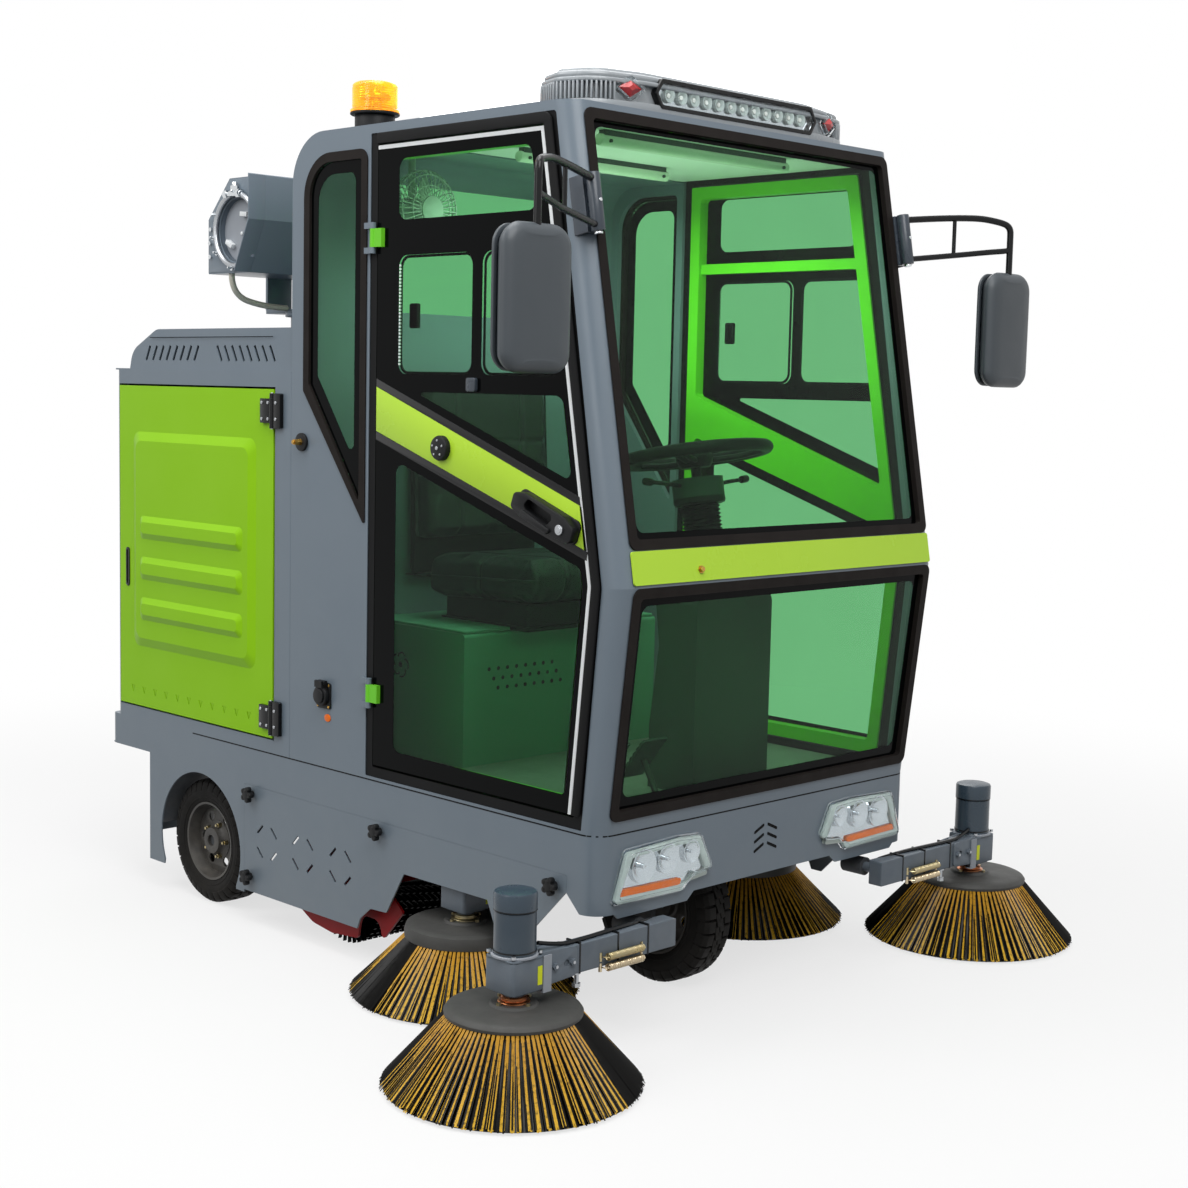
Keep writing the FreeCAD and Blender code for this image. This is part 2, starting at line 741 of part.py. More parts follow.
def make_glass():
    panes = []
    for frame, foot, head in screens():
        panes.append(placed(slab("XY", -14, -14 + s.glass, screen_outline(foot, head, -8, 10)),
                            frame))
    piece("windscreens", Part.makeCompound(panes))
    y = -s.half_width
    quarter = slab("XZ", y + 4, y + 4 + s.glass, quarter_outline(-6))
    rear = slab("YZ", s.cab_rear + 4, s.cab_rear + 4 + s.glass,
                rear_window())
    piece("side_glass", Part.makeCompound(both_sides(quarter) + [rear]))


def make_front_band():
    frame = screens()[0][0]
    plate = slab("XY", 0, 4, rectangle(31 - s.half_width, 6, s.half_width - 31, 76, 6))
    piece("front_band", placed(plate, frame))


def band_line(x, rear_height, front_height):
    share = (x - s.door_rear) / (s.door_front_knee - s.door_rear)
    return rear_height + share * (front_height - rear_height)


def door_front(height):
    if height >= s.door_knee_height:
        share = (height - s.door_knee_height) / (s.door_top - s.door_knee_height)
        return s.door_front_knee + share * (s.door_front_top - s.door_front_knee)
    share = (height - s.door_bottom) / (s.door_knee_height - s.door_bottom)
    return s.door_front_bottom + share * (s.door_front_knee - s.door_front_bottom)


def door_field(edge, band_gap, upper, radius):
    """Opening or pane above or below the door's sloping band, in from the door's edge."""
    rear = s.door_rear + edge
    if upper:
        low_rear = band_line(rear, s.band_rear_top, s.band_front_top) + band_gap
        front_low = door_front(s.band_front_top) - edge * 1.1
        low_front = band_line(front_low, s.band_rear_top, s.band_front_top) + band_gap
        top = s.door_top - edge
        return [(rear, low_rear, radius), (front_low, low_front, radius),
                (door_front(top) - edge * 1.1, top, radius), (rear, top, radius)]
    high_rear = band_line(rear, s.band_rear_bottom, s.band_front_bottom) - band_gap
    front_high = door_front(s.band_front_bottom) - edge * 1.1
    high_front = band_line(front_high, s.band_rear_bottom, s.band_front_bottom) - band_gap
    low = s.door_bottom + edge
    return [(rear, low, radius), (door_front(low) - edge, low, radius),
            (s.door_front_knee - edge, s.door_knee_height, radius),
            (front_high, high_front, radius), (rear, high_rear, radius)]


DOOR_HINGE_HEIGHTS = (640, 1690)


def door_hinge_axis():
    return s.door_rear - 8, s.half_width + 9


def make_cab_door(name, side):
    y = -s.half_width
    bar = s.door_bar
    skin = y - 1 + s.glass
    ring = slab("XZ", skin, skin + s.door_depth, door_outline(0))
    ring = without(ring, [slab("XZ", y - 5, y + 60, door_field(bar, 4, True, 12)),
                          slab("XZ", y - 5, y + 60, door_field(bar, 4, False, 12))])
    cross = block(s.door_rear + bar - 4, door_front(1700) - bar, skin, skin + 20, 1690, 1716)
    band = slab("XZ", y - 1, skin, [
        (s.door_rear + 1, s.band_rear_bottom),
        (door_front(s.band_front_bottom) - 9, band_line(door_front(s.band_front_bottom) - 9,
                                                        s.band_rear_bottom, s.band_front_bottom)),
        (door_front(s.band_front_top) - 9, band_line(door_front(s.band_front_top) - 9,
                                                     s.band_rear_top, s.band_front_top)),
        (s.door_rear + 1, s.band_rear_top)])
    axis_x, axis_y = door_hinge_axis()
    knuckles = []
    for z in DOOR_HINGE_HEIGHTS:
        knuckles.append(rod(7, V(axis_x, -axis_y, z), V(axis_x, -axis_y, z + 42)))
        knuckles.append(block(axis_x, s.door_rear + 26, -axis_y - 3, -axis_y + 3, z, z + 42))
        knuckles.append(block(s.door_rear + 6, s.door_rear + 26, -axis_y, skin + 4, z, z + 42))
    frame = joined([ring, cross, band] + knuckles)
    panes = [slab("XZ", y - 1, skin, door_field(9, 7, True, 6)),
             slab("XZ", y - 1, skin, door_field(9, 7, False, 6))]
    cut = [block(s.door_rear, s.door_rear + 27, -axis_y - 4, skin + 1, z - 1, z + 43)
           for z in DOOR_HINGE_HEIGHTS]
    panes = [without(pane, cut) for pane in panes]
    lock = rod(27, V(303, y - 1, 1242), V(303, y - 17, 1242))
    handle = slab("XZ", y - 34, y - 1, rectangle(-92, -26, 92, 26, 20))
    grip = slab("XZ", y - 35, y - 14, rectangle(-66, -2, 66, 22, 8))
    handle = without(handle, [grip])
    handle.rotate(V(0, 0, 0), LEFTWARD, 20)
    handle.translate(V(652, 0, 1112))
    shapes = {"cab_door_%s_frame": frame, "cab_door_%s_glass": Part.makeCompound(panes),
              "cab_door_%s_handle": Part.makeCompound([lock, handle])}
    for label, shape in shapes.items():
        piece(label % name, shape if side < 0 else mirrored(shape))


def make_floor():
    plate = doc.addObject("Part::Box", "cab_floor")
    plate.Label = "cab_floor"
    plate.setExpression("Length", "Sizes.apron_front - Sizes.cab_rear - 2 * Sizes.cab_wall - 12")
    plate.setExpression("Width", "2 * (Sizes.half_width - Sizes.cab_wall)")
    plate.Height = 12
    plate.setExpression("Placement.Base.x", "Sizes.cab_rear + Sizes.cab_wall")
    plate.setExpression("Placement.Base.y", "-(Sizes.half_width - Sizes.cab_wall)")
    plate.setExpression("Placement.Base.z", "Sizes.deck_top")
    nodes["cab_floor"] = plate


# Lamps, mirrors and fittings

def make_light_bar():
    z0, z1 = s.cab_top, s.cab_top + 92
    plan = [(450, -430, 50), (555, -462, 60), (640, -430, 90), (672, -300, 200),
            (672, 300, 200), (640, 430, 90), (555, 462, 60), (450, 430, 50)]
    bar = slab("XY", z0, z1, plan)
    top = [(430, z0 - 1), (430, z1 - 22, 20), (510, z1, 60), (600, z1 - 8, 50), (654, z1 - 40, 20),
           (680, z0 - 1)]
    bar = bar.common(slab("XZ", -600, 600, top))
    piece("light_bar", bar)


def make_beacon():
    points = [(0, 0), (49, 0), (49, 40), (59, 41), (59, 54), (55, 56), (54, 109), (44, 119), (0, 119)]
    turned("beacon", "Beacon", points,
           FreeCAD.Placement(V(-85, 105 - s.half_width, s.cab_top), FreeCAD.Rotation()))


def make_headlamps():
    x = s.apron_front
    outline = [(-505, 302, 10), (-468, 418, 14), (-300, 424, 30), (-228, 420, 16), (-190, 345, 8),
               (-250, 340, 10), (-285, 298, 12)]
    wires = [outline_wire("YZ", x, outline),
             outline_wire("YZ", x + 18, [(u * 0.985 - 6, v * 0.985 + 5, r) for u, v, r in outline])]
    lamp = Part.makeLoft(wires, True, True)
    piece("headlamps", Part.makeCompound(both_sides(lamp)))


def tube(path, radius, bend):
    """Round bar along straight runs joined by arcs."""
    count = len(path)
    edges = []
    start = path[0]
    for index in range(1, count - 1):
        corner = path[index]
        before = (path[index - 1] - corner).normalize()
        after = (path[index + 1] - corner).normalize()
        half = before.getAngle(after) / 2
        reach = bend / math.tan(half)
        first = corner + before * reach
        last = corner + after * reach
        inward = (before + after).normalize()
        middle = corner + inward * (bend / math.sin(half) - bend)
        edges.append(Part.LineSegment(start, first).toShape())
        edges.append(Part.Arc(first, middle, last).toShape())
        start = last
    edges.append(Part.LineSegment(start, path[-1]).toShape())
    wire = Part.Wire(edges)
    circle = Part.Wire(Part.makeCircle(radius, path[0], path[1] - path[0]))
    return wire.makePipeShell([circle], True, False)


def make_mirrors():
    frame = screens()[0][0]
    seat = 0.3

    def on_pillar(u, v, w):
        return frame.multVec(V(u, v, w))

    side = s.half_width
    low, high = 728, 848
    clamp = placed(slab("XY", -32, 9, rectangle(-side - 1, low, 29 - side, high, 3)), frame)
    clamp = without(clamp, [cab_block(-seat, s.deck_top)])
    post = rod(15, on_pillar(15 - side, low, 22), on_pillar(15 - side, high, 22))
    start = on_pillar(15 - side, high - 12, 22)
    bend, drop = V(862, -side - 239, 1810), V(871, -side - 257, 1786)
    upper = joined([rod(8, start, bend), rod(8, bend, drop), rod(8, drop, V(871, -side - 257, 1660)),
                    Part.makeSphere(8, bend), Part.makeSphere(8, drop)])
    lower = rod(7, on_pillar(15 - side, low + 12, 22), V(868, -side - 251, 1740))
    strut = rod(5, V(800, -side - 119, 1722), V(800, -side - 119, 1811))
    arm = joined([clamp, post, upper, lower, strut])
    arms = both_sides(arm)
    head = slab("XY", 1405, 1690, rectangle(838, -side - 347, 898, -side - 167, 28))
    profile = slab("XZ", -side - 365, -side - 145, [(836, 1403, 8), (872, 1403, 30), (899, 1470, 80),
                                   (899, 1640, 80), (872, 1691, 30), (836, 1691, 8)])
    front = slab("YZ", 826, 906, [
        (-side - 348, 1440, 40), (-side - 315, 1404, 40), (-side - 199, 1404, 40),
        (-side - 166, 1440, 40), (-side - 166, 1691, 46), (-side - 348, 1691, 46)])
    head = head.common(profile).common(front)
    head = without(head, [rod(8, V(871, -side - 257, 1655), V(871, -side - 257, 1700))])
    piece("mirror_arms", Part.makeCompound(arms))
    piece("mirror_heads", Part.makeCompound(both_sides(head)))


def make_side_fittings():
    y = -s.half_width
    plate = slab("XZ", y - 5, y, rectangle(-150, 600, -98, 662, 5))
    cap = rod(23, V(-126, y - 5, 632), V(-126, y - 24, 632))
    hinge = block(-150, -134, y - 20, y - 5, 655, 668)
    nozzle_plate = rod(22, V(-219, y, 1237), V(-219, y - 9, 1237))
    nozzle = rod(9, V(-219, y - 9, 1237), V(-219, y - 30, 1237))
    piece("side_fittings", Part.makeCompound([joined([plate, cap, hinge]),
                                              joined([nozzle_plate, nozzle])]))


# Driver's place

def make_interior():
    floor = s.deck_top + 12
    box = slab("XZ", -330, 330, [(s.cab_rear + s.cab_wall + 6, floor), (140, floor), (140, 790, 10),
                                 (s.cab_rear + s.cab_wall + 6, 790)])
    piece("seat_box", box)
    cushion = slab("XZ", -245, 245, [(-150, 850, 20), (290, 870, 30), (300, 975, 40),
                                     (-140, 960, 20)])
    base = block(-130, 200, -180, 180, 790, 856)
    back = slab("XZ", -240, 240, [(-205, 900, 20), (-120, 962, 20), (-165, 1422, 22),
                                  (-215, 1426, 22)])
    piece("seat", joined([cushion, base, back]))
    pedestal = slab("YZ", 560, 700, [(-130, floor), (130, floor), (130, 900, 10), (90, 985, 30),
                                     (-90, 985, 30), (-130, 900, 10)])
    pedestal = pedestal.common(slab("XZ", -200, 200, [(540, floor - 5), (700, floor - 5),
                                                      (730, 800), (715, 990), (560, 990),
                                                      (585, 800)]))
    lower = V(612, 0, 960)
    centre = steering_centre()
    column = joined([pedestal, rod(34, lower, lower + (centre - lower) * 0.72)])
    pod = rod(60, lower + (centre - lower) * 0.60, lower + (centre - lower) * 0.80)
    axis = (centre - lower).normalize()
    bore = rod(12 + s.running_clearance, centre - axis * 90, centre + axis * 10)
    pedals = []
    for y in (-230, -350):
        plate = block(-6, 0, y - 38, y + 38, -60, 60)
        plate.rotate(V(0, 0, 0), LEFTWARD, 38)
        plate.translate(V(640, 0, floor + 90))
        foot = block(672, 706, y - 14, y + 14, floor, floor + 12)
        pedals.append(joined([plate, foot, rod(7, V(640, y, floor + 88), V(686, y, floor + 8))]))
    console = without(joined([column, pod]), [bore])
    piece("steering_console", Part.makeCompound([console] + pedals))
    hub = rod(34, centre - axis * 26, centre + axis * 4)
    shaft = rod(12, centre - axis * 80, centre)
    ring = []
    for index in range(6):
        angle = math.radians(60 * index)
        ring.append(V(170 + 14 * math.cos(angle), 0, 14 * math.sin(angle)))
    rim = Part.Face(Part.makePolygon(ring + ring[:1])).revolve(V(0, 0, 0), UP, 360)
    rim.Placement = FreeCAD.Placement(centre, FreeCAD.Rotation(UP, axis))
    spokes = []
    side = LEFTWARD
    front = axis.cross(side)
    for angle in (90, 210, 330):
        reach = side * math.cos(math.radians(angle)) + front * math.sin(math.radians(angle))
        spokes.append(rod(9, centre - axis * 10, centre + reach * 168))
    piece("steering_wheel", joined([hub, shaft, rim] + spokes))
    fan = V(-70, -300, 1800)
    motor = rod(34, fan - FORWARD * 60, fan + FORWARD * 10)
    guard = rod(96, fan - FORWARD * 20, fan + FORWARD * 20)
    stem = rod(9, fan - FORWARD * 45, fan - FORWARD * 45 + UP * 131.7)
    piece("cabin_fan", joined([motor, guard, stem]))


def steering_centre():
    return V(560, 0, 1232)


# Side brushes

def make_arm(label, brush_x, brush_y, pivot_y, motor_top, arm_x, pin_start, pin_end):
    """Arm with its geared motor, built on the right side."""
    z = s.arm_pivot_z
    half = s.gearbox_side / 2
    gearbox = slab("XY", s.gearbox_bottom, s.gearbox_top,
                   rectangle(brush_x - half, -brush_y - half, brush_x + half, -brush_y + half, 10))
    motor = rod(s.motor_radius, V(brush_x, -brush_y, s.gearbox_top - 2),
                V(brush_x, -brush_y, motor_top))
    shaft = rod(13, V(brush_x, -brush_y, s.brush_disc_top - 20), V(brush_x, -brush_y,
                                                                  s.gearbox_bottom + 5))
    wide, tall = s.arm_wide / 2, s.arm_tall / 2
    beam = block(arm_x - wide, arm_x + wide, -brush_y + half + 60, -pivot_y + 36,
                 z - tall, z + tall)
    cheeks = []
    for offset in (-wide - 4, wide):
        cheeks.append(slab("XZ", -brush_y + half - 4, -brush_y + half + 90,
                           rectangle(arm_x + offset, z - tall - 8, arm_x + offset + 4,
                                     z + tall + 6)))
    end = block(min(brush_x - 30, arm_x - wide - 4), max(brush_x + 30, arm_x + wide + 4),
                -brush_y + half - 6, -brush_y + half + 6, s.gearbox_bottom + 4, z + tall + 6)
    pin = rod(s.axle_radius, V(pin_start, -pivot_y, z), V(pin_end, -pivot_y, z))
    return joined([gearbox, motor, shaft, beam, end, pin] + cheeks)


def springs(arm_x, first_y, last_y):
    """Two tension springs hooked side by side on the arm's front face."""
    x = arm_x + s.arm_wide / 2 + 12
    bars = []
    for z in (s.arm_pivot_z - 30, s.arm_pivot_z - 8):
        bars.append(rod(9, V(x, first_y, z), V(x, last_y, z)))
        for y in (first_y - 6, last_y + 6):
            bars.append(rod(4, V(arm_x, y, z), V(x, y, z)))
    return bars


def make_brush(label, brush_x, brush_y):
    """A disc on its hub with a cone of tufts below it, each tuft a low ridge."""
    ground = s.brush_ground
    inner = s.brush_disc_radius - 52
    bottom, top = s.brush_disc_bottom, s.brush_disc_top
    count = int(s.brush_tufts)
    bore = 13 + s.running_clearance

    def ridged(radius, z):
        corners = []
        for index in range(2 * count):
            reach = radius * (1 if index % 2 == 0 else 0.962)
            turn = math.pi * index / count
            corners.append(V(brush_x + reach * math.cos(turn), brush_y + reach * math.sin(turn), z))
        return Part.makePolygon(corners + corners[:1])

    section = [(bore, top - 24), (bore, top + 20), (34, top + 20), (34, top),
               (s.brush_disc_radius, top - 12), (s.brush_disc_radius + 3, bottom),
               (inner, bottom), (inner, top - 24)]
    corners = [V(brush_x + radius, brush_y, z) for radius, z in section]
    disc = Part.Face(Part.makePolygon(corners + corners[:1]))
    disc = disc.revolve(V(brush_x, brush_y, 0), UP, 360)
    tufts = Part.makeLoft([ridged(s.brush_radius, ground),
                           ridged(s.brush_disc_radius - 2, bottom + 5)], True, True)
    hollow = Part.makeCone(s.brush_radius - 58, inner, bottom - ground,
                           V(brush_x, brush_y, ground))
    tufts = without(tufts, [hollow, rod(inner, V(brush_x, brush_y, bottom - 1),
                                        V(brush_x, brush_y, bottom + 8))])
    piece(label, joined([disc, tufts]))


def make_side_brushes():
    for side, name in ((-1, "right"), (1, "left")):
        arm = make_arm("arm", s.front_brush_x, s.front_brush_y, s.front_arm_pivot_y,
                       s.front_motor_top, s.front_arm_x, 742, s.front_arm_x)
        arm = joined([arm] + springs(s.front_arm_x, -s.front_arm_pivot_y - 70,
                                     -s.front_arm_pivot_y - 190))
        piece("front_arm_" + name, arm if side < 0 else mirrored(arm))
        arm = make_arm("arm", s.mid_brush_x, s.mid_brush_y, s.mid_arm_pivot_y,
                       s.mid_motor_top, s.mid_brush_x, s.mid_brush_x - 56, s.mid_brush_x + 52)
        piece("mid_arm_" + name, arm if side < 0 else mirrored(arm))
        make_brush("front_brush_" + name, s.front_brush_x, side * s.front_brush_y)
        make_brush("mid_brush_" + name, s.mid_brush_x, side * s.mid_brush_y)


# Main roller

def make_roller():
    x, z = s.roller_x, s.roller_radius + s.brush_ground
    half = s.roller_half_length
    core = rod(s.roller_radius, V(x, -half, z), V(x, half, z))
    shaft = rod(14, V(x, -half - 18, z), V(x, half + 18, z))
    piece("main_roller", joined([core, shaft]))
    inner = half + 8
    plate = [(x - 185, 80, 20), (x - 100, 38, 60), (x - 20, 28, 40), (x + 84, 38, 10),
             (x + 96, 100, 30), (x + 166, 100, 30), (x + 180, 54, 8), (x + 256, 138, 6),
             (x + 190, 190, 30), (x + 120, 300, 60), (x - 120, 300, 60), (x - 185, 200, 40)]
    sides = []
    for side in (-1, 1):
        low, high = sorted((side * inner, side * (inner + 6)))
        sides.append(slab("XZ", low, high, plate))
    roof = [(x - 185, 200), (x - 120, 300, 50), (x + 120, 300, 50), (x + 189, 190), (x + 184, 190),
            (x + 117, 295, 48), (x - 117, 295, 48), (x - 181, 200)]
    hood = slab("XZ", -inner, inner, roof)
    hangers = [block(x - 60, x + 60, side * 300 - 6, side * 300 + 6, 295, 300)
               for side in (-1, 1)]
    bores = [rod(14 + s.running_clearance, V(x, -inner - 20, z), V(x, inner + 20, z))]
    piece("roller_housing", without(joined(sides + [hood] + hangers), bores))


# Fog cannon

def make_cannon():
    x, y, z = s.cannon_x, s.cannon_y, s.cannon_z
    base = s.hood_top
    pedestal = joined([rod(90, V(x, y, base), V(x, y, base + 10)),
                       rod(45, V(x, y, base + 8), V(x, y, base + 42))])
    piece("cannon_pedestal", pedestal)
    half, rise = s.cannon_half, s.cannon_rise
    outline = [(x - half, z - rise), (x + half * 0.51, z - rise), (x + half, z + 8),
               (x + half, z + rise), (x - 31, z + rise), (x - half, z + 20)]
    front = y - s.cannon_front
    rear = y + s.cannon_back
    shell = slab("XZ", front, rear, outline)
    wall = [(x + half * 0.51, z - rise), (x + half, z + 8), (x + half, z + rise),
            (x + half - 4, z + rise), (x + half - 4, z + 9), (x + half * 0.51 - 4, z - rise)]
    visor = slab("XZ", front - 50, front + 1, wall)
    mid_x, mid_z = x + 8, z - 12
    mouth = rod(80, V(mid_x, front - 1, mid_z), V(mid_x, front + 300, mid_z))
    throat = rod(72, V(mid_x, front + 200, mid_z), V(mid_x, rear + 1, mid_z))
    ring = without(rod(96, V(mid_x, front - 14, mid_z), V(mid_x, front, mid_z)),
                   [rod(80, V(mid_x, front - 20, mid_z), V(mid_x, front + 5, mid_z))])
    fan = rod(28, V(mid_x, front + 180, mid_z), V(mid_x, rear - 20, mid_z))
    vanes = []
    for index in range(4):
        vane = block(mid_x - 3, mid_x + 3, front + 210, front + 290, mid_z, mid_z + 84)
        vane.rotate(V(mid_x, 0, mid_z), LEFTWARD, 90 * index + 20)
        vanes.append(vane)
    yoke = [block(x - half - 10, x - half, y - 40, y + 40, base + 60, z - 10),
            block(x + half, x + half + 10, y - 40, y + 40, base + 60, z + 60),
            block(x - half - 10, x + half + 10, y - 40, y + 40, base + 52, base + 64),
            rod(60, V(x, y, base + 42.3), V(x, y, base + 56))]
    barrel = without(joined([shell, visor, ring]), [mouth, throat])
    piece("fog_cannon", joined([barrel, fan] + vanes + yoke))
    hose = tube([V(x - 40, front + 14, z - rise - 0.3), V(x - 40, front + 14, base + 92),
                 V(x - 40, y - 110, base + 66), V(x - 40, y - 40.3, base + 66)], 8, 22)
    piece("cannon_hose", hose)


make_lower_body()
make_deck()
make_skirts()
make_chassis()
make_rear_axle()
make_wheels()
make_fork()
make_rear_body()
make_battery()
make_service_door("right", -1)
make_service_door("left", 1)
make_hood()
make_cab_frame()
make_door_seals()
make_window_gaskets()
make_glass()
make_front_band()
make_cab_door("right", -1)
make_cab_door("left", 1)
make_floor()
make_light_bar()
make_beacon()
make_headlamps()
make_mirrors()
make_side_fittings()
make_interior()
make_side_brushes()
make_roller()
make_cannon()
doc.recompute()

for item in doc.Objects:
    if "Invalid" in item.State or "Error" in item.State:
        raise RuntimeError("object failed: %s %s" % (item.Name, item.State))
for label, part in nodes.items():
    if part.Shape.isNull() or not part.Shape.isValid():
        raise RuntimeError("bad shape: " + label)
    if not part.Shape.Solids:
        raise RuntimeError("no solid: " + label)

os.makedirs("parts", exist_ok=True)
for label, part in nodes.items():
    part.Shape.exportStep("parts/%s.step" % label)
print("wrote %d parts" % len(nodes))
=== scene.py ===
"""Looks of a ride-on street sweeper with a glazed cab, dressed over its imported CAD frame."""

import math
import random

import bmesh
import bpy
from mathutils import Matrix, Vector


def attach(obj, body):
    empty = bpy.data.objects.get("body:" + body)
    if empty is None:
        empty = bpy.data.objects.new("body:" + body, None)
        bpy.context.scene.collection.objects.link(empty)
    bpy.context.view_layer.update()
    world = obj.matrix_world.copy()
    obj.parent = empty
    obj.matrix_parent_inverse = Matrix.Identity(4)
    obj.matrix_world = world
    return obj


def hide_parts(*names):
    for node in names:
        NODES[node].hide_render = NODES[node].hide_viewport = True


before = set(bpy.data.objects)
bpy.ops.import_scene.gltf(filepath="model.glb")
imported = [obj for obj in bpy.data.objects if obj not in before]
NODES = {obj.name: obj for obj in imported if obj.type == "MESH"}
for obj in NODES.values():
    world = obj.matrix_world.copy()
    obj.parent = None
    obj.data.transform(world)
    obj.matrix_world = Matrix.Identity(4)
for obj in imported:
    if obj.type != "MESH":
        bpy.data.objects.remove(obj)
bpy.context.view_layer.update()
MM = 0.001
METRE = 1000  # millimetres; METRE / size is the scale of a pattern of that size

X, Y, Z = Vector((1, 0, 0)), Vector((0, 1, 0)), Vector((0, 0, 1))
HERE = Matrix.Identity(4)
MIX_A, MIX_B, MIX_OUT = 6, 7, 2  # the colour sockets of a Mix node


# Materials

def linear(code):
    """An sRGB hex colour as the linear values that the shaders take."""
    values = [int(code[i:i + 2], 16) / 255 for i in (0, 2, 4)]
    return tuple(v / 12.92 if v <= 0.04045 else ((v + 0.055) / 1.055) ** 2.4 for v in values) + (1.0,)


def feed(tree, node, inputs):
    """Links or sets a node's inputs, given by name or number."""
    for key, value in inputs.items():
        if isinstance(value, bpy.types.NodeSocket):
            tree.links.new(value, node.inputs[key])
        else:
            node.inputs[key].default_value = value


def add(tree, kind, inputs=None, **settings):
    """Adds one node with its settings, and feeds its inputs."""
    node = tree.nodes.new(kind)
    for key, value in settings.items():
        setattr(node, key, value)
    feed(tree, node, inputs or {})
    return node


def new_material(name):
    material = bpy.data.materials.new(name)
    material.use_nodes = True
    tree = material.node_tree
    shader = tree.nodes["Principled BSDF"]
    place = add(tree, "ShaderNodeTexCoord").outputs["Object"]
    return material, tree, shader, place


def finish(name, colour, shade, rough, spread=0.06, mottle=180.0, grain=1.5, depth=0.02,
           metallic=0.0, coat=0.0, dust=0.0, wear=None, specular=0.5):
    """A surface with cloudy colour, uneven gloss and a fine relief; sizes are in millimetres.

    dust lays road dust on the lowest half metre; wear is a colour that shows in fine scuffs.
    """
    material, tree, shader, place = new_material(name)
    cloud = add(tree, "ShaderNodeTexNoise", {"Vector": place, "Scale": METRE / mottle, "Detail": 5.0,
                                             "Roughness": 0.6}).outputs["Fac"]
    paint = add(tree, "ShaderNodeMix", {"Factor": cloud, MIX_A: linear(colour), MIX_B: linear(shade)},
                data_type="RGBA").outputs[MIX_OUT]
    gloss = add(tree, "ShaderNodeMapRange", {"Value": cloud, "From Min": 0.3, "From Max": 0.7,
                                             "To Min": rough - spread, "To Max": rough + spread}).outputs[0]
    if wear:
        scuff = add(tree, "ShaderNodeTexNoise", {"Vector": place, "Scale": METRE / 9.0, "Detail": 8.0,
                                                 "Roughness": 0.75}).outputs["Fac"]
        patch = add(tree, "ShaderNodeMapRange", {"Value": scuff, "From Min": 0.68, "From Max": 0.76}).outputs[0]
        paint = add(tree, "ShaderNodeMix", {"Factor": patch, MIX_A: paint, MIX_B: linear(wear)},
                    data_type="RGBA").outputs[MIX_OUT]
    if dust:
        height = add(tree, "ShaderNodeSeparateXYZ", {"Vector": place}).outputs["Z"]
        low = add(tree, "ShaderNodeMapRange", {"Value": height, "From Min": 0.5, "From Max": 0.03,
                                               "To Max": dust}).outputs[0]
        streak = add(tree, "ShaderNodeTexNoise", {"Vector": place, "Scale": METRE / 35.0,
                                                  "Detail": 6.0}).outputs["Fac"]
        amount = add(tree, "ShaderNodeMath", {0: low, 1: streak}, operation="MULTIPLY").outputs[0]
        paint = add(tree, "ShaderNodeMix", {"Factor": amount, MIX_A: paint, MIX_B: linear("A79F92")},
                    data_type="RGBA").outputs[MIX_OUT]
        gloss = add(tree, "ShaderNodeMath", {0: gloss, 1: amount}, operation="ADD", use_clamp=True).outputs[0]
    relief = add(tree, "ShaderNodeTexNoise", {"Vector": place, "Scale": METRE / grain, "Detail": 3.0}).outputs["Fac"]
    bump = add(tree, "ShaderNodeBump", {"Height": relief, "Distance": depth * MM, "Strength": 0.6})
    feed(tree, shader, {"Base Color": paint, "Roughness": gloss, "Normal": bump.outputs["Normal"],
                        "Metallic": metallic, "Specular IOR Level": specular, "Coat Weight": coat,
                        "Coat Roughness": 0.12})
    return material


def clear(name, colour, shade, rough=0.0, ripple=0.0, glow=0.0, ior=1.45):
    """Glass or clear plastic: light passes through it and takes on its slightly uneven tint."""
    material, tree, shader, place = new_material(name)
    haze = add(tree, "ShaderNodeTexNoise", {"Vector": place, "Scale": METRE / 300.0, "Detail": 3.0}).outputs["Fac"]
    tint = add(tree, "ShaderNodeMix", {"Factor": haze, MIX_A: linear(colour), MIX_B: linear(shade)},
               data_type="RGBA").outputs[MIX_OUT]
    feed(tree, shader, {"Base Color": tint, "Transmission Weight": 1.0, "Roughness": rough, "IOR": ior})
    if ripple:
        wave = add(tree, "ShaderNodeTexNoise", {"Vector": place, "Scale": METRE / 14.0, "Detail": 2.0}).outputs["Fac"]
        bump = add(tree, "ShaderNodeBump", {"Height": wave, "Distance": ripple * MM, "Strength": 0.5})
        feed(tree, shader, {"Normal": bump.outputs["Normal"]})
    if glow:
        feed(tree, shader, {"Emission Color": linear(colour), "Emission Strength": glow})
    return material


# Powder-coated sheet steel: satin, with an orange peel of about 2 mm, and dusty towards the ground.
GREY = finish("powder_coat_blue_grey", "69757F", "626E79", 0.34, grain=2.2, dust=0.12, specular=0.45)
GREY_DARK = finish("powder_coat_slate_grey", "3C434B", "353B42", 0.45, grain=2.2, depth=0.04, dust=0.3,
                   specular=0.2)
BOX_GREEN = finish("powder_coat_box_green", "5A8A76", "507F6C", 0.42, grain=2.2, depth=0.03, specular=0.3)
# Gloss powder coat on the service doors: a smooth, strong lime.
LIME = finish("powder_coat_lime", "8DC518", "85BD14", 0.34, grain=4.0, depth=0.005, specular=0.12)
# Film on the cab doors' bands and the front band: a paler and glossier lime.
LIME_BAND = finish("lime_film", "B4DC3A", "ADD636", 0.26, grain=4.0, depth=0.004, specular=0.25)
# Gloss paint on the cab doors' inner frames: nearly smooth.
GREEN = finish("gloss_green_paint", "6CC82C", "63BE25", 0.32, grain=4.0, depth=0.012, specular=0.25)
# Brushed-on gloss paint on the roller's housing: a deep red with soft ripples.
RED = finish("gloss_red_paint", "9C0E15", "880B11", 0.34, grain=3.0, depth=0.05, specular=0.15)
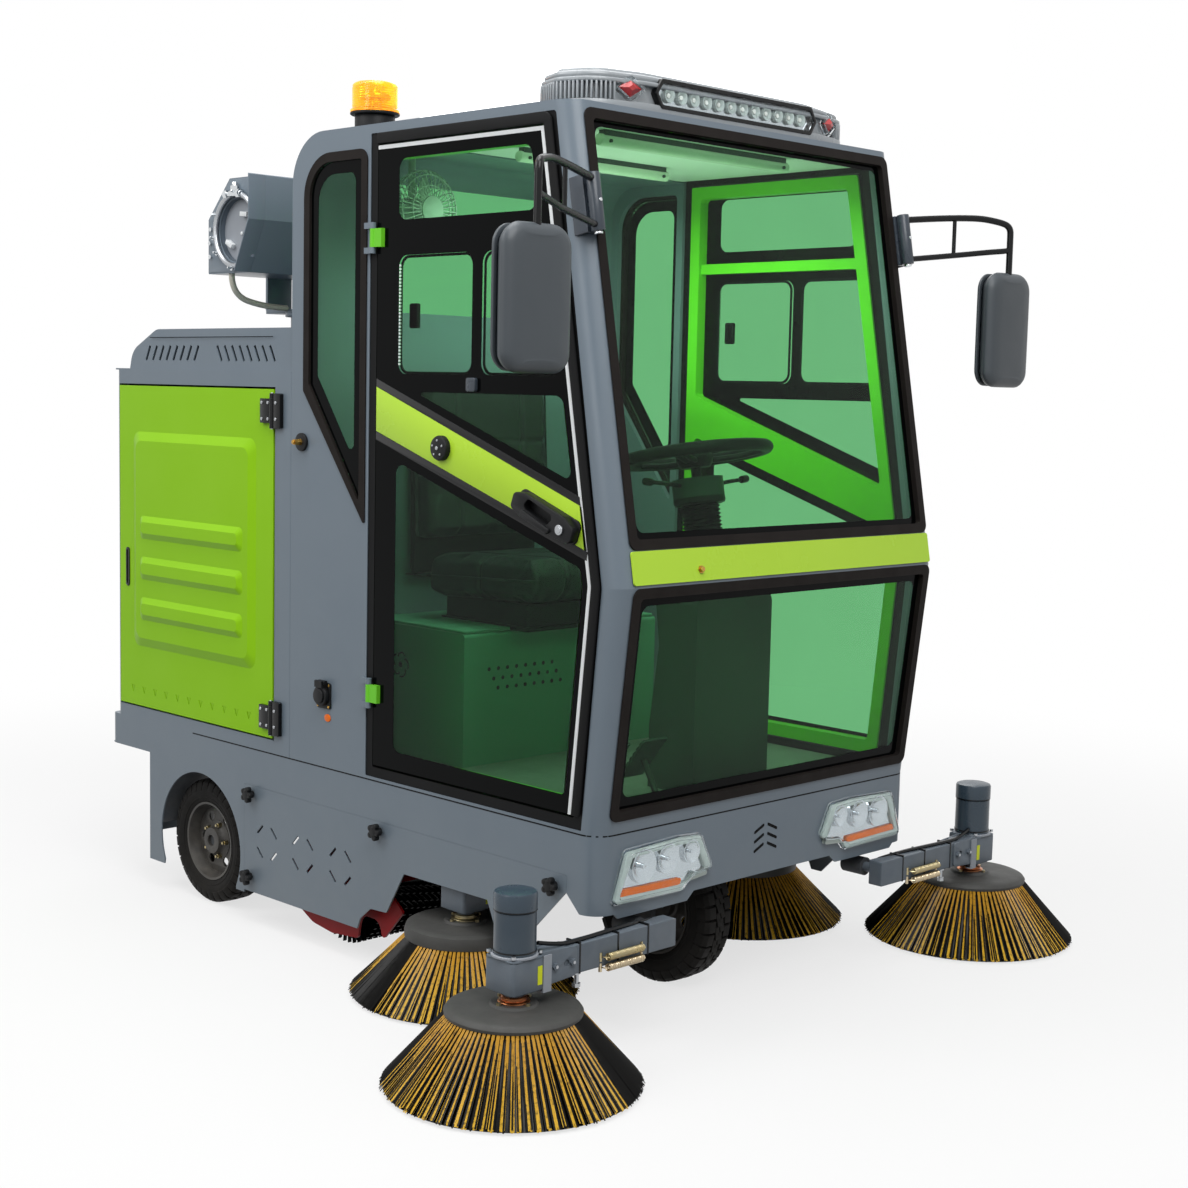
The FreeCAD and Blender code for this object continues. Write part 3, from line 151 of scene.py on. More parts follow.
# Extruded EPDM rubber: near black and matte, with a fine skin.
SEAL = finish("extruded_rubber_seal", "0A0A0B", "101112", 0.60, grain=1.2, depth=0.05, specular=0.12)
# The same rubber round the windscreens, bleached to a brown black.
GASKET = finish("bleached_rubber_gasket", "221E1C", "1A1716", 0.60, mottle=60, grain=1.2, depth=0.05, specular=0.08)
# Moulded tyre rubber: matte and bloomed, a little dusty near the ground.
TYRE = finish("moulded_tyre_rubber", "0C0C0D", "131313", 0.66, spread=0.08, mottle=60, grain=1.6, depth=0.12,
              dust=0.05, specular=0.10)
# Moulded rubber mat on the cab's floor: grey and dull, with a coarse grain.
MAT = finish("grey_rubber_floor_mat", "747A74", "676D68", 0.62, mottle=40, grain=2.0, depth=0.15, specular=0.2)
# Injection-moulded ABS with a leather-like grain of about 1 mm: soft, broken highlights.
BLACK_ABS = finish("grained_black_abs", "0E0F10", "141517", 0.46, grain=1.0, depth=0.10, specular=0.2)
GREY_ABS = finish("grained_dark_grey_abs", "41474C", "3A4045", 0.44, grain=1.0, depth=0.12, specular=0.45)
CONSOLE = finish("moulded_dark_green_console", "34423E", "2D3A37", 0.50, grain=1.2, depth=0.08, specular=0.25)
# ABS and trim from a polished mould: smooth, with clear highlights.
SMOOTH_ABS = finish("smooth_black_abs", "08090A", "0D0E10", 0.24, grain=4.0, depth=0.01, specular=0.25)
BAR_ABS = finish("smooth_grey_abs", "8F9498", "858A8D", 0.30, grain=4.0, depth=0.01)
WHITE_ABS = finish("smooth_white_abs", "BCC7C1", "B2BDB7", 0.34, grain=4.0, depth=0.01)
EDGE = finish("white_edge_trim", "E6E9EA", "DCE0E1", 0.35, grain=4.0, depth=0.01)
# Moulded polypropylene of the brushes' plates: grey, dulled by dirt.
PLATE = finish("dusty_grey_brush_plate", "464644", "363635", 0.56, mottle=50, grain=2.0, depth=0.10, specular=0.25)
# Painted board under the roof: off white and matte.
LINER = finish("white_ceiling_board", "E9EBE7", "E2E5E1", 0.60, grain=1.6, depth=0.03, specular=0.2)
# Stoved enamel: smooth and satin, and on the wheels' discs chipped to a lighter grey.
SLATE = finish("satin_slate_enamel", "3B434C", "343B43", 0.26, grain=3.0, depth=0.01, specular=0.4)
RIM = finish("stoved_black_enamel", "17181A", "202225", 0.34, grain=2.0, depth=0.05, dust=0.3, wear="3E4042",
             specular=0.35)
# Machine enamel on castings and motor cans: brushed and cloudy, or sprayed to a gloss.
ENAMEL = finish("grey_machine_enamel", "5F6A75", "525C66", 0.36, mottle=40, grain=2.5, depth=0.06, dust=0.2,
                specular=0.3)
MOTOR = finish("gloss_slate_motor_enamel", "34434F", "2C3A46", 0.28, mottle=60, grain=3.0, depth=0.03, dust=0.08,
               specular=0.4)
# Ceramic frit fired on the glass: black, smooth and glossy. The same black also goes on as thin plates over vent holes
# and slots: painted shade inside them.
FRIT_AND_PAINTED_SHADE = finish("black_frit_and_painted_shade", "040505", "060708", 0.12, spread=0.03, grain=60, depth=0.003, specular=0.05)
# Zinc-plated steel of screws and pins: yellow from its passivation, bright, or dull as sheet.
ZINC = finish("yellow_zinc_steel", "B9A56C", "A5A08E", 0.32, mottle=20, grain=1.0, metallic=1.0)
STEEL = finish("bright_zinc_steel", "B4B7BA", "9B9EA2", 0.30, mottle=25, grain=0.8, metallic=1.0)
ZINC_SHEET = finish("dull_zinc_sheet", "989DA4", "8D9299", 0.46, mottle=60, grain=3.0, depth=0.01, specular=0.3)
# Turned brass, copper-washed spring wire and a tarnished copper nut: warm metals with a fine grain.
BRASS = finish("turned_brass", "C19A4E", "AB8440", 0.28, mottle=15, grain=0.8, depth=0.01, metallic=1.0)
SPRING_WIRE = finish("champagne_spring_wire", "CDBFA4", "B9A98C", 0.30, mottle=15, grain=0.8, metallic=1.0)
COPPER = finish("tarnished_copper_nut", "C98358", "A86C48", 0.30, mottle=10, grain=0.8, metallic=1.0)
# Silvered glass and metallised plastic: they mirror the studio, the plastic with soft ripples of 16 mm.
MIRROR = finish("silvered_mirror_glass", "D8DCDF", "D4D8DB", 0.05, spread=0.02, grain=80, depth=0.005, metallic=1.0)
REFLECTOR = finish("vacuum_metallised_reflector", "D9DCDE", "C9CDD0", 0.10, mottle=30, grain=16.0, depth=0.5,
                   metallic=1.0)
# Steel braid of the cannon's hose: pale and ropy.
HOSE = finish("braided_steel_hose", "D6D3C6", "ABA797", 0.42, mottle=4, grain=2.0, depth=0.2, specular=0.6)
# Extruded nylon filament in black: thin and glossy; the golden one is below.
BLACK_FILAMENT = finish("black_nylon_filament", "050505", "0A0907", 0.20, mottle=12, grain=0.9, specular=0.13)
# Moulded acrylic lenses and diodes: strong colour under a gloss.
ORANGE_LENS = finish("moulded_orange_lens", "F07404", "E06400", 0.24, mottle=20, grain=3.0, depth=0.10, coat=0.1,
                     specular=0.2)
RED_LENS = finish("moulded_red_reflex_lens", "C4161C", "8E0D12", 0.18, mottle=6, grain=3.0, depth=0.15, coat=0.5)
LED = finish("white_led_diode", "F4F5EE", "E3E4DA", 0.20, mottle=8, grain=3.0)
# Blank tags of yellow film on the gearboxes: flat and satin.
TAG = finish("yellow_film_tag", "D9E021", "CDD41C", 0.40, mottle=20, grain=4.0, depth=0.01, specular=0.3)
# Tinted safety glass, and clear and amber polycarbonate. The low refraction keeps the white studio off the panes,
# so that their green shows.
GLASS = clear("green_tinted_safety_glass", "A0D5AD", "98CFA6", ior=1.16)
SCREEN_GLASS = clear("light_green_windscreen_glass", "ACDCB5", "A6D6AF", ior=1.16)
LENS = clear("clear_polycarbonate_lens", "F2F5F6", "E9EEF0", ripple=0.15, ior=1.22)
AMBER = clear("amber_polycarbonate_dome", "FFBA30", "FFAC24", rough=0.06, ripple=0.2, glow=0.25)


def vinyl_material():
    """Embossed black seat vinyl: pebbles 1.8 mm wide, coarser than real ones so that they catch the light."""
    material, tree, shader, place = new_material("embossed_black_vinyl")
    pebble = add(tree, "ShaderNodeTexVoronoi", {"Vector": place, "Scale": METRE / 1.8},
                 feature="DISTANCE_TO_EDGE").outputs["Distance"]
    crease = add(tree, "ShaderNodeTexNoise", {"Vector": place, "Scale": METRE / 60.0, "Detail": 4.0}).outputs["Fac"]
    colour = add(tree, "ShaderNodeMix", {"Factor": crease, MIX_A: linear("1B1C1E"), MIX_B: linear("2A2B2E")},
                 data_type="RGBA").outputs[MIX_OUT]
    height = add(tree, "ShaderNodeMath", {0: pebble, 1: crease}, operation="ADD").outputs[0]
    bump = add(tree, "ShaderNodeBump", {"Height": height, "Distance": 0.15 * MM, "Strength": 0.4})
    feed(tree, shader, {"Base Color": colour, "Normal": bump.outputs["Normal"], "Roughness": 0.42,
                        "Specular IOR Level": 0.35})
    return material


def filament_material():
    """Golden nylon filament with specks of road dirt: yellow at the tips, and browner and warmer towards the root,
    which is painted light, the glow of backlight through the filaments.
    """
    material, tree, shader, place = new_material("golden_nylon_filament")
    height = add(tree, "ShaderNodeSeparateXYZ", {"Vector": place}).outputs["Z"]
    # Painted backlight: the colour turns browner and warmer from the tips up to the root.
    level = add(tree, "ShaderNodeMapRange", {"Value": height, "From Min": 0.012, "From Max": 0.115}).outputs[0]
    clean_with_painted_backlight = add(tree, "ShaderNodeMix", {"Factor": level, MIX_A: linear("CDA42C"), MIX_B: linear("B0821E")},
                data_type="RGBA").outputs[MIX_OUT]
    speck = add(tree, "ShaderNodeTexNoise", {"Vector": place, "Scale": METRE / 7.0, "Detail": 4.0}).outputs["Fac"]
    stain = add(tree, "ShaderNodeMapRange", {"Value": speck, "From Min": 0.52, "From Max": 0.70,
                                             "To Max": 0.7}).outputs[0]
    dirty = add(tree, "ShaderNodeMix", {"Factor": stain, MIX_A: clean_with_painted_backlight, MIX_B: linear("3E2C08")},
                data_type="RGBA").outputs[MIX_OUT]
    feed(tree, shader, {"Base Color": dirty, "Roughness": 0.38, "Specular IOR Level": 0.3})
    return material


VINYL = vinyl_material()
YELLOW_FILAMENT = filament_material()


# Shapes, drawn in millimetres

BODY = 545  # half the width of the body
DOOR = 546  # the outer face of the cab doors' glass and of the service doors
APRON = 812  # the front of the body, under the windscreens
ROOF = 1968  # the top of the cab


def softened(points, steps=6):
    """An outline of (u, v) or (u, v, radius) corners as points, with its corners rounded."""
    line = []
    count = len(points)
    for index, point in enumerate(points):
        corner = Vector(point[:2])
        radius = point[2] if len(point) > 2 else 0
        if radius <= 0:
            line.append(corner)
            continue
        before = (Vector(points[index - 1][:2]) - corner).normalized()
        after = (Vector(points[(index + 1) % count][:2]) - corner).normalized()
        half = before.angle(after) / 2
        if half > math.radians(89):
            line.append(corner)
            continue
        start = corner + before * radius / math.tan(half)
        end = corner + after * radius / math.tan(half)
        centre = corner + (before + after).normalized() * radius / math.sin(half)
        for step in range(steps + 1):
            spoke = (start - centre).lerp(end - centre, step / steps)
            line.append(centre + spoke.normalized() * radius)
    return line


def rectangle(u0, v0, u1, v1, radius=0.0):
    return [(u0, v0, radius), (u1, v0, radius), (u1, v1, radius), (u0, v1, radius)]


def circle(u, v, radius, sides=32):
    return [(u + radius * math.cos(2 * math.pi * i / sides), v + radius * math.sin(2 * math.pi * i / sides))
            for i in range(sides)]


# How an outline's u, v and w lie in space: w goes outwards, towards -Y on XZ and +X on YZ.
PLANES = {"XY": HERE,
          "XZ": Matrix(((1, 0, 0), (0, 0, -1), (0, 1, 0))).to_4x4(),
          "YZ": Matrix(((0, 0, 1), (1, 0, 0), (0, 1, 0))).to_4x4()}


def screen_frame(lower, upper):
    """The sloped plane of a windscreen: u to the left, v up the slope, w outwards."""
    along = Vector((upper[0] - lower[0], 0, upper[1] - lower[1])).normalized()
    out = Y.cross(along)
    turn = Matrix((Y, along, out)).transposed()
    return Matrix.Translation((lower[0], 0, lower[1])) @ turn.to_4x4()


UPPER_SCREEN = screen_frame((870, 977), (690, ROOF))
LOWER_SCREEN = screen_frame((APRON, 455), (870, 977))


def put_in_scene(name, data):
    """Puts an object in the scene."""
    made = bpy.data.objects.new(name, data)
    bpy.context.scene.collection.objects.link(made)
    return made


def flattened(piece):
    """The plain mesh that a piece's modifiers give; the modifiers are removed."""
    mesh = bpy.data.meshes.new_from_object(piece.evaluated_get(bpy.context.evaluated_depsgraph_get()))
    piece.modifiers.clear()
    return mesh


class Form:
    """Gathers closed shapes that make one piece."""

    def __init__(self):
        self.bm = bmesh.new()

    def take(self, mesh, place=HERE):
        fresh = mesh.copy()
        fresh.transform(place)
        self.bm.from_mesh(fresh)
        bpy.data.meshes.remove(fresh)
        return self

    def box(self, lo, hi, place=HERE):
        size = Vector(hi) - Vector(lo)
        middle = (Vector(hi) + Vector(lo)) / 2
        made = bmesh.ops.create_cube(self.bm, size=1.0)
        matrix = place @ Matrix.Translation(middle) @ Matrix.Diagonal((*size, 1))
        bmesh.ops.transform(self.bm, matrix=matrix, verts=made["verts"])
        return self

    def loft(self, rings, closed=False):
        """Joins rings of as many points each into a skin, capped at both ends or closed on itself."""
        rows = [[self.bm.verts.new(point) for point in ring] for ring in rings]
        for low, high in zip(rows, rows[1:] + (rows[:1] if closed else [])):
            for k in range(len(low)):
                after = (k + 1) % len(low)
                self.bm.faces.new((low[k], low[after], high[after], high[k]))
        if not closed:
            self.bm.faces.new(rows[0][::-1])
            self.bm.faces.new(rows[-1])
        return self

    def lathe(self, centre, axis, profile, sides=48):
        """Turns (radius, height) points round an axis; the profile closes on itself or on the axis."""
        turn = Vector(axis).to_track_quat("Z", "Y").to_matrix()
        rings = []
        for radius, height in profile:
            if radius < 1e-6:
                rings.append([self.bm.verts.new(Vector(centre) + turn @ Vector((0, 0, height)))])
                continue
            ring = []
            for side in range(sides):
                angle = 2 * math.pi * side / sides
                ring.append(self.bm.verts.new(Vector(centre) + turn @ Vector(
                    (radius * math.cos(angle), radius * math.sin(angle), height))))
            rings.append(ring)
        closed = len(rings[0]) > 1 and len(rings[-1]) > 1
        pairs = list(zip(rings, rings[1:])) + ([(rings[-1], rings[0])] if closed else [])
        for low, high in pairs:
            for side in range(sides):
                after = (side + 1) % sides
                if len(low) == 1 and len(high) == 1:
                    continue
                if len(low) == 1:
                    self.bm.faces.new((low[0], high[after], high[side]))
                elif len(high) == 1:
                    self.bm.faces.new((low[side], low[after], high[0]))
                else:
                    self.bm.faces.new((low[side], low[after], high[after], high[side]))
        return self

    def rod(self, start, end, radius, tip=None, sides=24, round_by=0.0):
        """A round bar, tapered to the radius tip where that is given, with its two edges eased."""
        start, end = Vector(start), Vector(end)
        length = (end - start).length
        tip = radius if tip is None else tip
        ease = min(round_by, radius * 0.9, tip * 0.9, length * 0.45)
        if ease > 0:
            profile = [(0, 0), (radius - ease, 0), (radius - ease * 0.3, ease * 0.3), (radius, ease),
                       (tip, length - ease), (tip - ease * 0.3, length - ease * 0.3), (tip - ease, length),
                       (0, length)]
        else:
            profile = [(0, 0), (radius, 0), (tip, length), (0, length)]
        return self.lathe(start, end - start, profile, sides)

    def plate(self, plane, start, end, outline, holes=(), edge=0.0, place=HERE):
        """A flat plate from start to end along the plane's w, with holes and eased edges."""
        drawing = bpy.data.curves.new("outline", "CURVE")
        drawing.dimensions = "2D"
        drawing.fill_mode = "BOTH"
        drawing.extrude = abs(end - start) / 2 - edge
        drawing.bevel_depth = edge
        drawing.bevel_resolution = 1
        drawing.offset = -edge
        for line in (outline, *holes):
            points = softened(line)
            spline = drawing.splines.new("POLY")
            spline.points.add(len(points) - 1)
            spline.points.foreach_set("co", [c for p in points for c in (p[0], p[1], 0, 1)])
            spline.use_cyclic_u = True
        return self.swept(drawing, place @ PLANES[plane] @ Matrix.Translation((0, 0, (start + end) / 2)))

    def tube(self, points, radius, sides=12, smooth=True):
        """A round bar along points, bent in curves or straight from one to the next."""
        line = bpy.data.curves.new("route", "CURVE")
        line.dimensions = "3D"
        line.bevel_depth = radius
        line.bevel_resolution = max(1, sides // 4 - 1)
        line.use_fill_caps = True
        spline = line.splines.new("NURBS" if smooth else "POLY")
        spline.points.add(len(points) - 1)
        for index, point in enumerate(points):
            spline.points[index].co = (*point, 1)
        if smooth:
            spline.order_u = 3
            spline.use_endpoint_u = True
            spline.resolution_u = 8
        return self.swept(line, HERE)

    def swept(self, curve, place):
        """Takes in the body of a curve, and clears the curve away."""
        carrier = bpy.data.objects.new("curve", curve)
        mesh = bpy.data.meshes.new_from_object(carrier)
        self.take(mesh, place)
        bpy.data.objects.remove(carrier)
        bpy.data.curves.remove(curve)
        bpy.data.meshes.remove(mesh)
        return self

    def mirrored(self):
        """Adds the same shapes on the other side of the vehicle."""
        made = bmesh.ops.duplicate(self.bm, geom=self.bm.verts[:] + self.bm.edges[:] + self.bm.faces[:])
        verts = [g for g in made["geom"] if isinstance(g, bmesh.types.BMVert)]
        faces = [g for g in made["geom"] if isinstance(g, bmesh.types.BMFace)]
        for vert in verts:
            vert.co.y = -vert.co.y
        bmesh.ops.reverse_faces(self.bm, faces=faces)
        return self

    def facing(self, side):
        """Moves what is drawn on the right side (-1) over to the left one (1)."""
        if side > 0:
            for vert in self.bm.verts:
                vert.co.y = -vert.co.y
            bmesh.ops.reverse_faces(self.bm, faces=self.bm.faces[:])
        return self

    def mesh(self, name):
        bmesh.ops.remove_doubles(self.bm, verts=self.bm.verts, dist=0.002)
        bmesh.ops.recalc_face_normals(self.bm, faces=self.bm.faces[:])
        made = bpy.data.meshes.new(name)
        self.bm.to_mesh(made)
        self.bm.free()
        return made

    def done(self, name, material, slot, body="chassis", **more):
        """Makes the finished piece."""
        return settle(self.mesh(name), name, material, slot, body, **more)


def settle(mesh, name, material, slot, body="chassis", smooth=35, replaces=(), bevel=0.0, levels=0, place=HERE):
    """Stands a mesh drawn in millimetres in its place and ties it to the body that carries it."""
    mesh.transform(place)
    mesh.transform(Matrix.Scale(MM, 4))
    mesh.materials.clear()
    mesh.materials.append(material)
    piece = put_in_scene(name, mesh)
    if bevel:
        eased = piece.modifiers.new("eased edges", "BEVEL")
        eased.width = bevel * MM
        eased.segments = 2
        eased.limit_method = "ANGLE"
        eased.angle_limit = math.radians(30)
    if levels:
        rounded = piece.modifiers.new("rounded", "SUBSURF")
        rounded.levels = rounded.render_levels = levels
    if bevel or levels:
        piece.data = flattened(piece)
        piece.data.name = name
    if smooth:
        piece.data.shade_smooth()
        piece.data.set_sharp_from_angle(angle=math.radians(smooth))
    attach(piece, body)
    if replaces:
        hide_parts(*replaces)
    return piece


def copies_tree():
    """Geometry Nodes tree that sets out copies of one small shape round the Z axis."""
    tree = bpy.data.node_groups.new("copies_round_z", "GeometryNodeTree")
    face = tree.interface
    for label, kind in (("Shape", "Geometry"), ("Count", "Int"), ("Turn", "Vector"), ("Finish", "Material")):
        face.new_socket(label, in_out="INPUT", socket_type="NodeSocket" + kind)
    face.new_socket("Copies", in_out="OUTPUT", socket_type="NodeSocketGeometry")
    given = add(tree, "NodeGroupInput").outputs
    index = add(tree, "GeometryNodeInputIndex").outputs[0]
    points = add(tree, "GeometryNodePoints", {"Count": given["Count"]})
    turn = add(tree, "ShaderNodeVectorMath", {0: given["Turn"], "Scale": index}, operation="SCALE")
    copies = add(tree, "GeometryNodeInstanceOnPoints", {"Points": points.outputs[0], "Instance": given["Shape"],
                                                        "Rotation": turn.outputs[0]})
    real = add(tree, "GeometryNodeRealizeInstances", {"Geometry": copies.outputs[0]})
    coated = add(tree, "GeometryNodeSetMaterial", {"Geometry": real.outputs[0], "Material": given["Finish"]})
    add(tree, "NodeGroupOutput", {"Copies": coated.outputs[0]})
    return tree


COPIES = copies_tree()


def set_out(form, material, count):
    """Sets out copies of a small shape evenly round Z, as one mesh that is still in millimetres."""
    source = put_in_scene("one", form.mesh("one"))
    run = source.modifiers.new("copies", "NODES")
    run.node_group = COPIES
    sockets = {s.name: s.identifier for s in COPIES.interface.items_tree if s.in_out == "INPUT"}
    for label, value in (("Count", count), ("Turn", (0, 0, 2 * math.pi / count)), ("Finish", material)):
        run[sockets[label]] = value
    mesh = flattened(source)
    bpy.data.objects.remove(source)
    return mesh


# CAD nodes that stay as they are, with their finishes

KEPT = {
    GREY: ["front_apron", "side_panels", "rear_ledge", "side_skirts", "rear_body", "hood", "cab_frame",
           "deck_plate", "cannon_pedestal"],
    GREY_DARK: ["frame_rails", "cross_members", "arm_lugs", "rear_axle", "arch_liners", "steering_fork"],
    LIME: ["service_door_right", "service_door_left"],
    LIME_BAND: ["front_band"],
    GREEN: ["cab_door_right_frame", "cab_door_left_frame"],
    RED: ["roller_housing"],
    SEAL: ["door_seals"],
    GASKET: ["window_gaskets"],
    GLASS: ["side_glass", "cab_door_right_glass", "cab_door_left_glass"],
    SCREEN_GLASS: ["windscreens"],
    BLACK_ABS: ["battery_pack"],
    MAT: ["cab_floor"],
    CONSOLE: ["steering_console"],
    BOX_GREEN: ["seat_box"],
}
for material, names in KEPT.items():
    for name in names:
        NODES[name].data.materials.clear()
        NODES[name].data.materials.append(material)


# Side brushes

SIDES = (("right", -1), ("left", 1))  # and the sign of y there
FRONT_BRUSH, MID_BRUSH = (839, 796), (338, 488)  # the axes of the left side's brushes
TUFTS = 92  # places for golden tufts round a brush
BARE_HALF = 17  # half the angle, in degrees, of a sector where the black filaments lie bare
STRAND_TURN = 0.0095  # radians from one filament of a tuft to the next


def lay_filaments(name, body, x, y, material, angles, root, tip, strands, thick, seed):
    """Straight narrow tufts, each of a few filaments, from the plate's rim down to the ground."""
    rng = random.Random(seed)
    tufts = Form()
    for angle in angles:
        angle += rng.uniform(-0.006, 0.006)
        for strand in range(strands):
            lean = (strand - (strands - 1) / 2) * STRAND_TURN
            reach = tip - rng.uniform(0, 5)
            foot = 5 + (tip - reach) * 1.1 + rng.uniform(0, 2)  # shorter filaments end as much higher
            rings = []
            for share in (0.0, 0.5, 1.0):
                radius = root[0] + (reach - root[0]) * share
                height = root[1] + (foot - root[1]) * share
                turn = angle + lean * (0.75 + 0.25 * share) + rng.uniform(-0.002, 0.002)
                out = Vector((math.cos(turn), math.sin(turn), 0))
                across = Vector((-out.y, out.x, 0)) * thick * (1.0 + 0.15 * share)
                rise = (out * 0.7 + Z * 0.7) * thick * 0.7
                spot = out * radius + Z * height
                rings.append([spot + s for s in (across, rise, -across, -rise * 0.5)])
            tufts.loft(rings)
    tufts.done(name, material, "bristle_yellow", body, smooth=60, place=Matrix.Translation((x, y, 0)))


def side_brush(body, x, y, nut, seed, bare, drop):
    """Moulded plate, steel hub, and golden tufts over a smooth cone of black ones.

    bare is the middle, in degrees, of a sector where the black filaments lie bare, as they do across from it.
    drop is how much lower the tufts start than a front brush's.
    """
    plate = Form().lathe((x, y, 0), Z, [
        (13.1, 147), (13.1, 171), (46, 171), (50, 166), (112, 165), (127, 164), (135, 160.5), (139.5, 154.5 - drop / 2),
        (138.5, 148.5 - drop), (132, 146 - drop), (124, 148 - drop), (60, 149)], 72)
    plate.done(body + "_plate", PLATE, "black_plastic", body, replaces=(body,))
    hub = Form().lathe((x, y, 0), Z, [(13.1, 171), (13.1, 184), (24, 184), (26, 182), (26, 176), (31, 175), (33, 173),
                                      (33, 171.2)], 40)
    hub.done(body + "_hub", nut, "brass", body)
    bolts = set_out(Form().rod((41, 0, 170), (41, 0, 176), 5, sides=6), ZINC, 4)
    settle(bolts, body + "_bolts", ZINC, "brass", body, smooth=30, place=Matrix.Translation((x, y, 0)))
    core = Form().lathe((x, y, 0), Z, [(122, 147 - drop), (135, 146 - drop), (257, 5), (254, 3.2), (247, 3.5),
                                       (120, 137 - drop)], 88)
    core.done(body + "_core", BLACK_FILAMENT, "bristle_yellow", body, smooth=60)
    golden, black = [], []
    for index in range(TUFTS):
        angle = 2 * math.pi * index / TUFTS
        off = abs((math.degrees(angle) - bare + 180) % 360 - 180)
        (black if min(off, 180 - off) < BARE_HALF else golden).append(angle)
    lay_filaments(body + "_golden", body, x, y, YELLOW_FILAMENT, golden, (136, 148.5 - drop), 262, 4, 1.75, seed)
    lay_filaments(body + "_bare", body, x, y, BLACK_FILAMENT, [a + d for a in black for d in (-0.017, 0.0, 0.017)],
                  (136, 147.5 - drop), 263, 1, 2.1, seed + 1)
    # Black filament tips round the brush's lower edge, reaching past the golden ones: partly the brush's real black
    # filaments, partly painted shade under the brush.
    rim = [math.pi * (index + 0.5) / TUFTS for index in range(2 * TUFTS)]
    lay_filaments(body + "_black", body, x, y, BLACK_FILAMENT, rim, (142, 141 - drop), 264.5, 1, 1.6, seed + 2)


for side_name, side in SIDES:
    side_brush("front_brush_" + side_name, FRONT_BRUSH[0], side * FRONT_BRUSH[1], COPPER, seed=11, bare=-144, drop=0)
    side_brush("mid_brush_" + side_name, MID_BRUSH[0], side * MID_BRUSH[1], ZINC, seed=31, bare=-108, drop=15)


# Brush arms with their geared motors

ARM_HEIGHT = 236  # of the arms' square tubes above the ground


def coil(form, start, end, radius, wire, turns, steps=10):
    """A closed-wound tension spring between two points."""
    start, end = Vector(start), Vector(end)
    turn = (end - start).to_track_quat("Z", "Y").to_matrix()
    length = (end - start).length
    path = []
    for i in range(turns * steps + 1):
        angle, run = 2 * math.pi * i / steps, length * i / (turns * steps)
        path.append(start + turn @ Vector((radius * math.cos(angle), radius * math.sin(angle), run)))
    return form.tube(path, wire, sides=8)


def motor_stack(body, x, y, top):
    """Gearbox casting, flange and motor can with its end cap, on the brush's axis."""
    box = Form()
    for low, high, half, corner, edge in ((196, 262, 42, 8, 2.5), (262, 266, 43, 12, 1), (192, 198, 34, 10, 1)):
        box.plate("XY", low, high, rectangle(x - half, y - half, x + half, y + half, corner), edge=edge)
    box.rod((x, y, 182), (x, y, 196), 20, round_by=1.5)
    box.done(body + "_gearbox", ENAMEL, "motor_paint", body, smooth=30)
    inner = y + (30 if y < 0 else -30)
    tag = Form().box((x + 41.8, inner - 6, 208), (x + 42.8, inner + 6, 246))
    tag.done(body + "_blank_tag", TAG, "lamp_lens", body, smooth=0)
    flange = Form().lathe((x, y, 0), Z, [(0, 265.5), (47, 265.5), (48, 266.5), (48, 270), (47, 271), (0, 271)], 56)
    flange.done(body + "_flange", ZINC_SHEET, "motor_paint", body, smooth=30)
    cap = top - 38
    can = Form().lathe((x, y, 0), Z, [(0, 271), (43, 271), (43, 276), (42.5, cap - 3), (41, cap - 2), (41, cap),
                                      (44, cap + 1), (44, top - 6), (42, top - 2), (36, top), (0, top)], 56)
    can.done(body + "_motor", MOTOR, "motor_paint", body, smooth=30)
    bands = Form()
    for level in (276, cap - 1):
        bands.lathe((x, y, 0), Z, [(41, level), (44.0, level), (44.0, level + 2.6), (41, level + 2.6)], 56)
    bands.done(body + "_motor_bands", SMOOTH_ABS, "motor_paint", body, smooth=30)
    screws = set_out(Form().rod((36, 36, 270.5), (36, 36, 276), 5, sides=6), STEEL, 4)
    settle(screws, body + "_gearbox_screws", STEEL, "motor_paint", body, smooth=30,
           place=Matrix.Translation((x, y, 0)))


def arm_beam(x, outer, inner, cheek, hole):
    """Square tube from outer to inner, and the two cheek plates, from cheek on, that hold the gearbox."""
    z = ARM_HEIGHT
    beam = Form().plate("YZ", x - 19, x + 19, rectangle(outer, z - 30, inner, z + 30, 3), edge=1.5)
    for off in (-23, 19):
        beam.plate("YZ", x + off, x + off + 4, [(cheek, 200, 6), (cheek + 95, 206, 10), (cheek + 95, 266, 10),
                                                (cheek, 272, 6)], [circle(hole, z, 7, 16)], edge=0.6)
    return beam


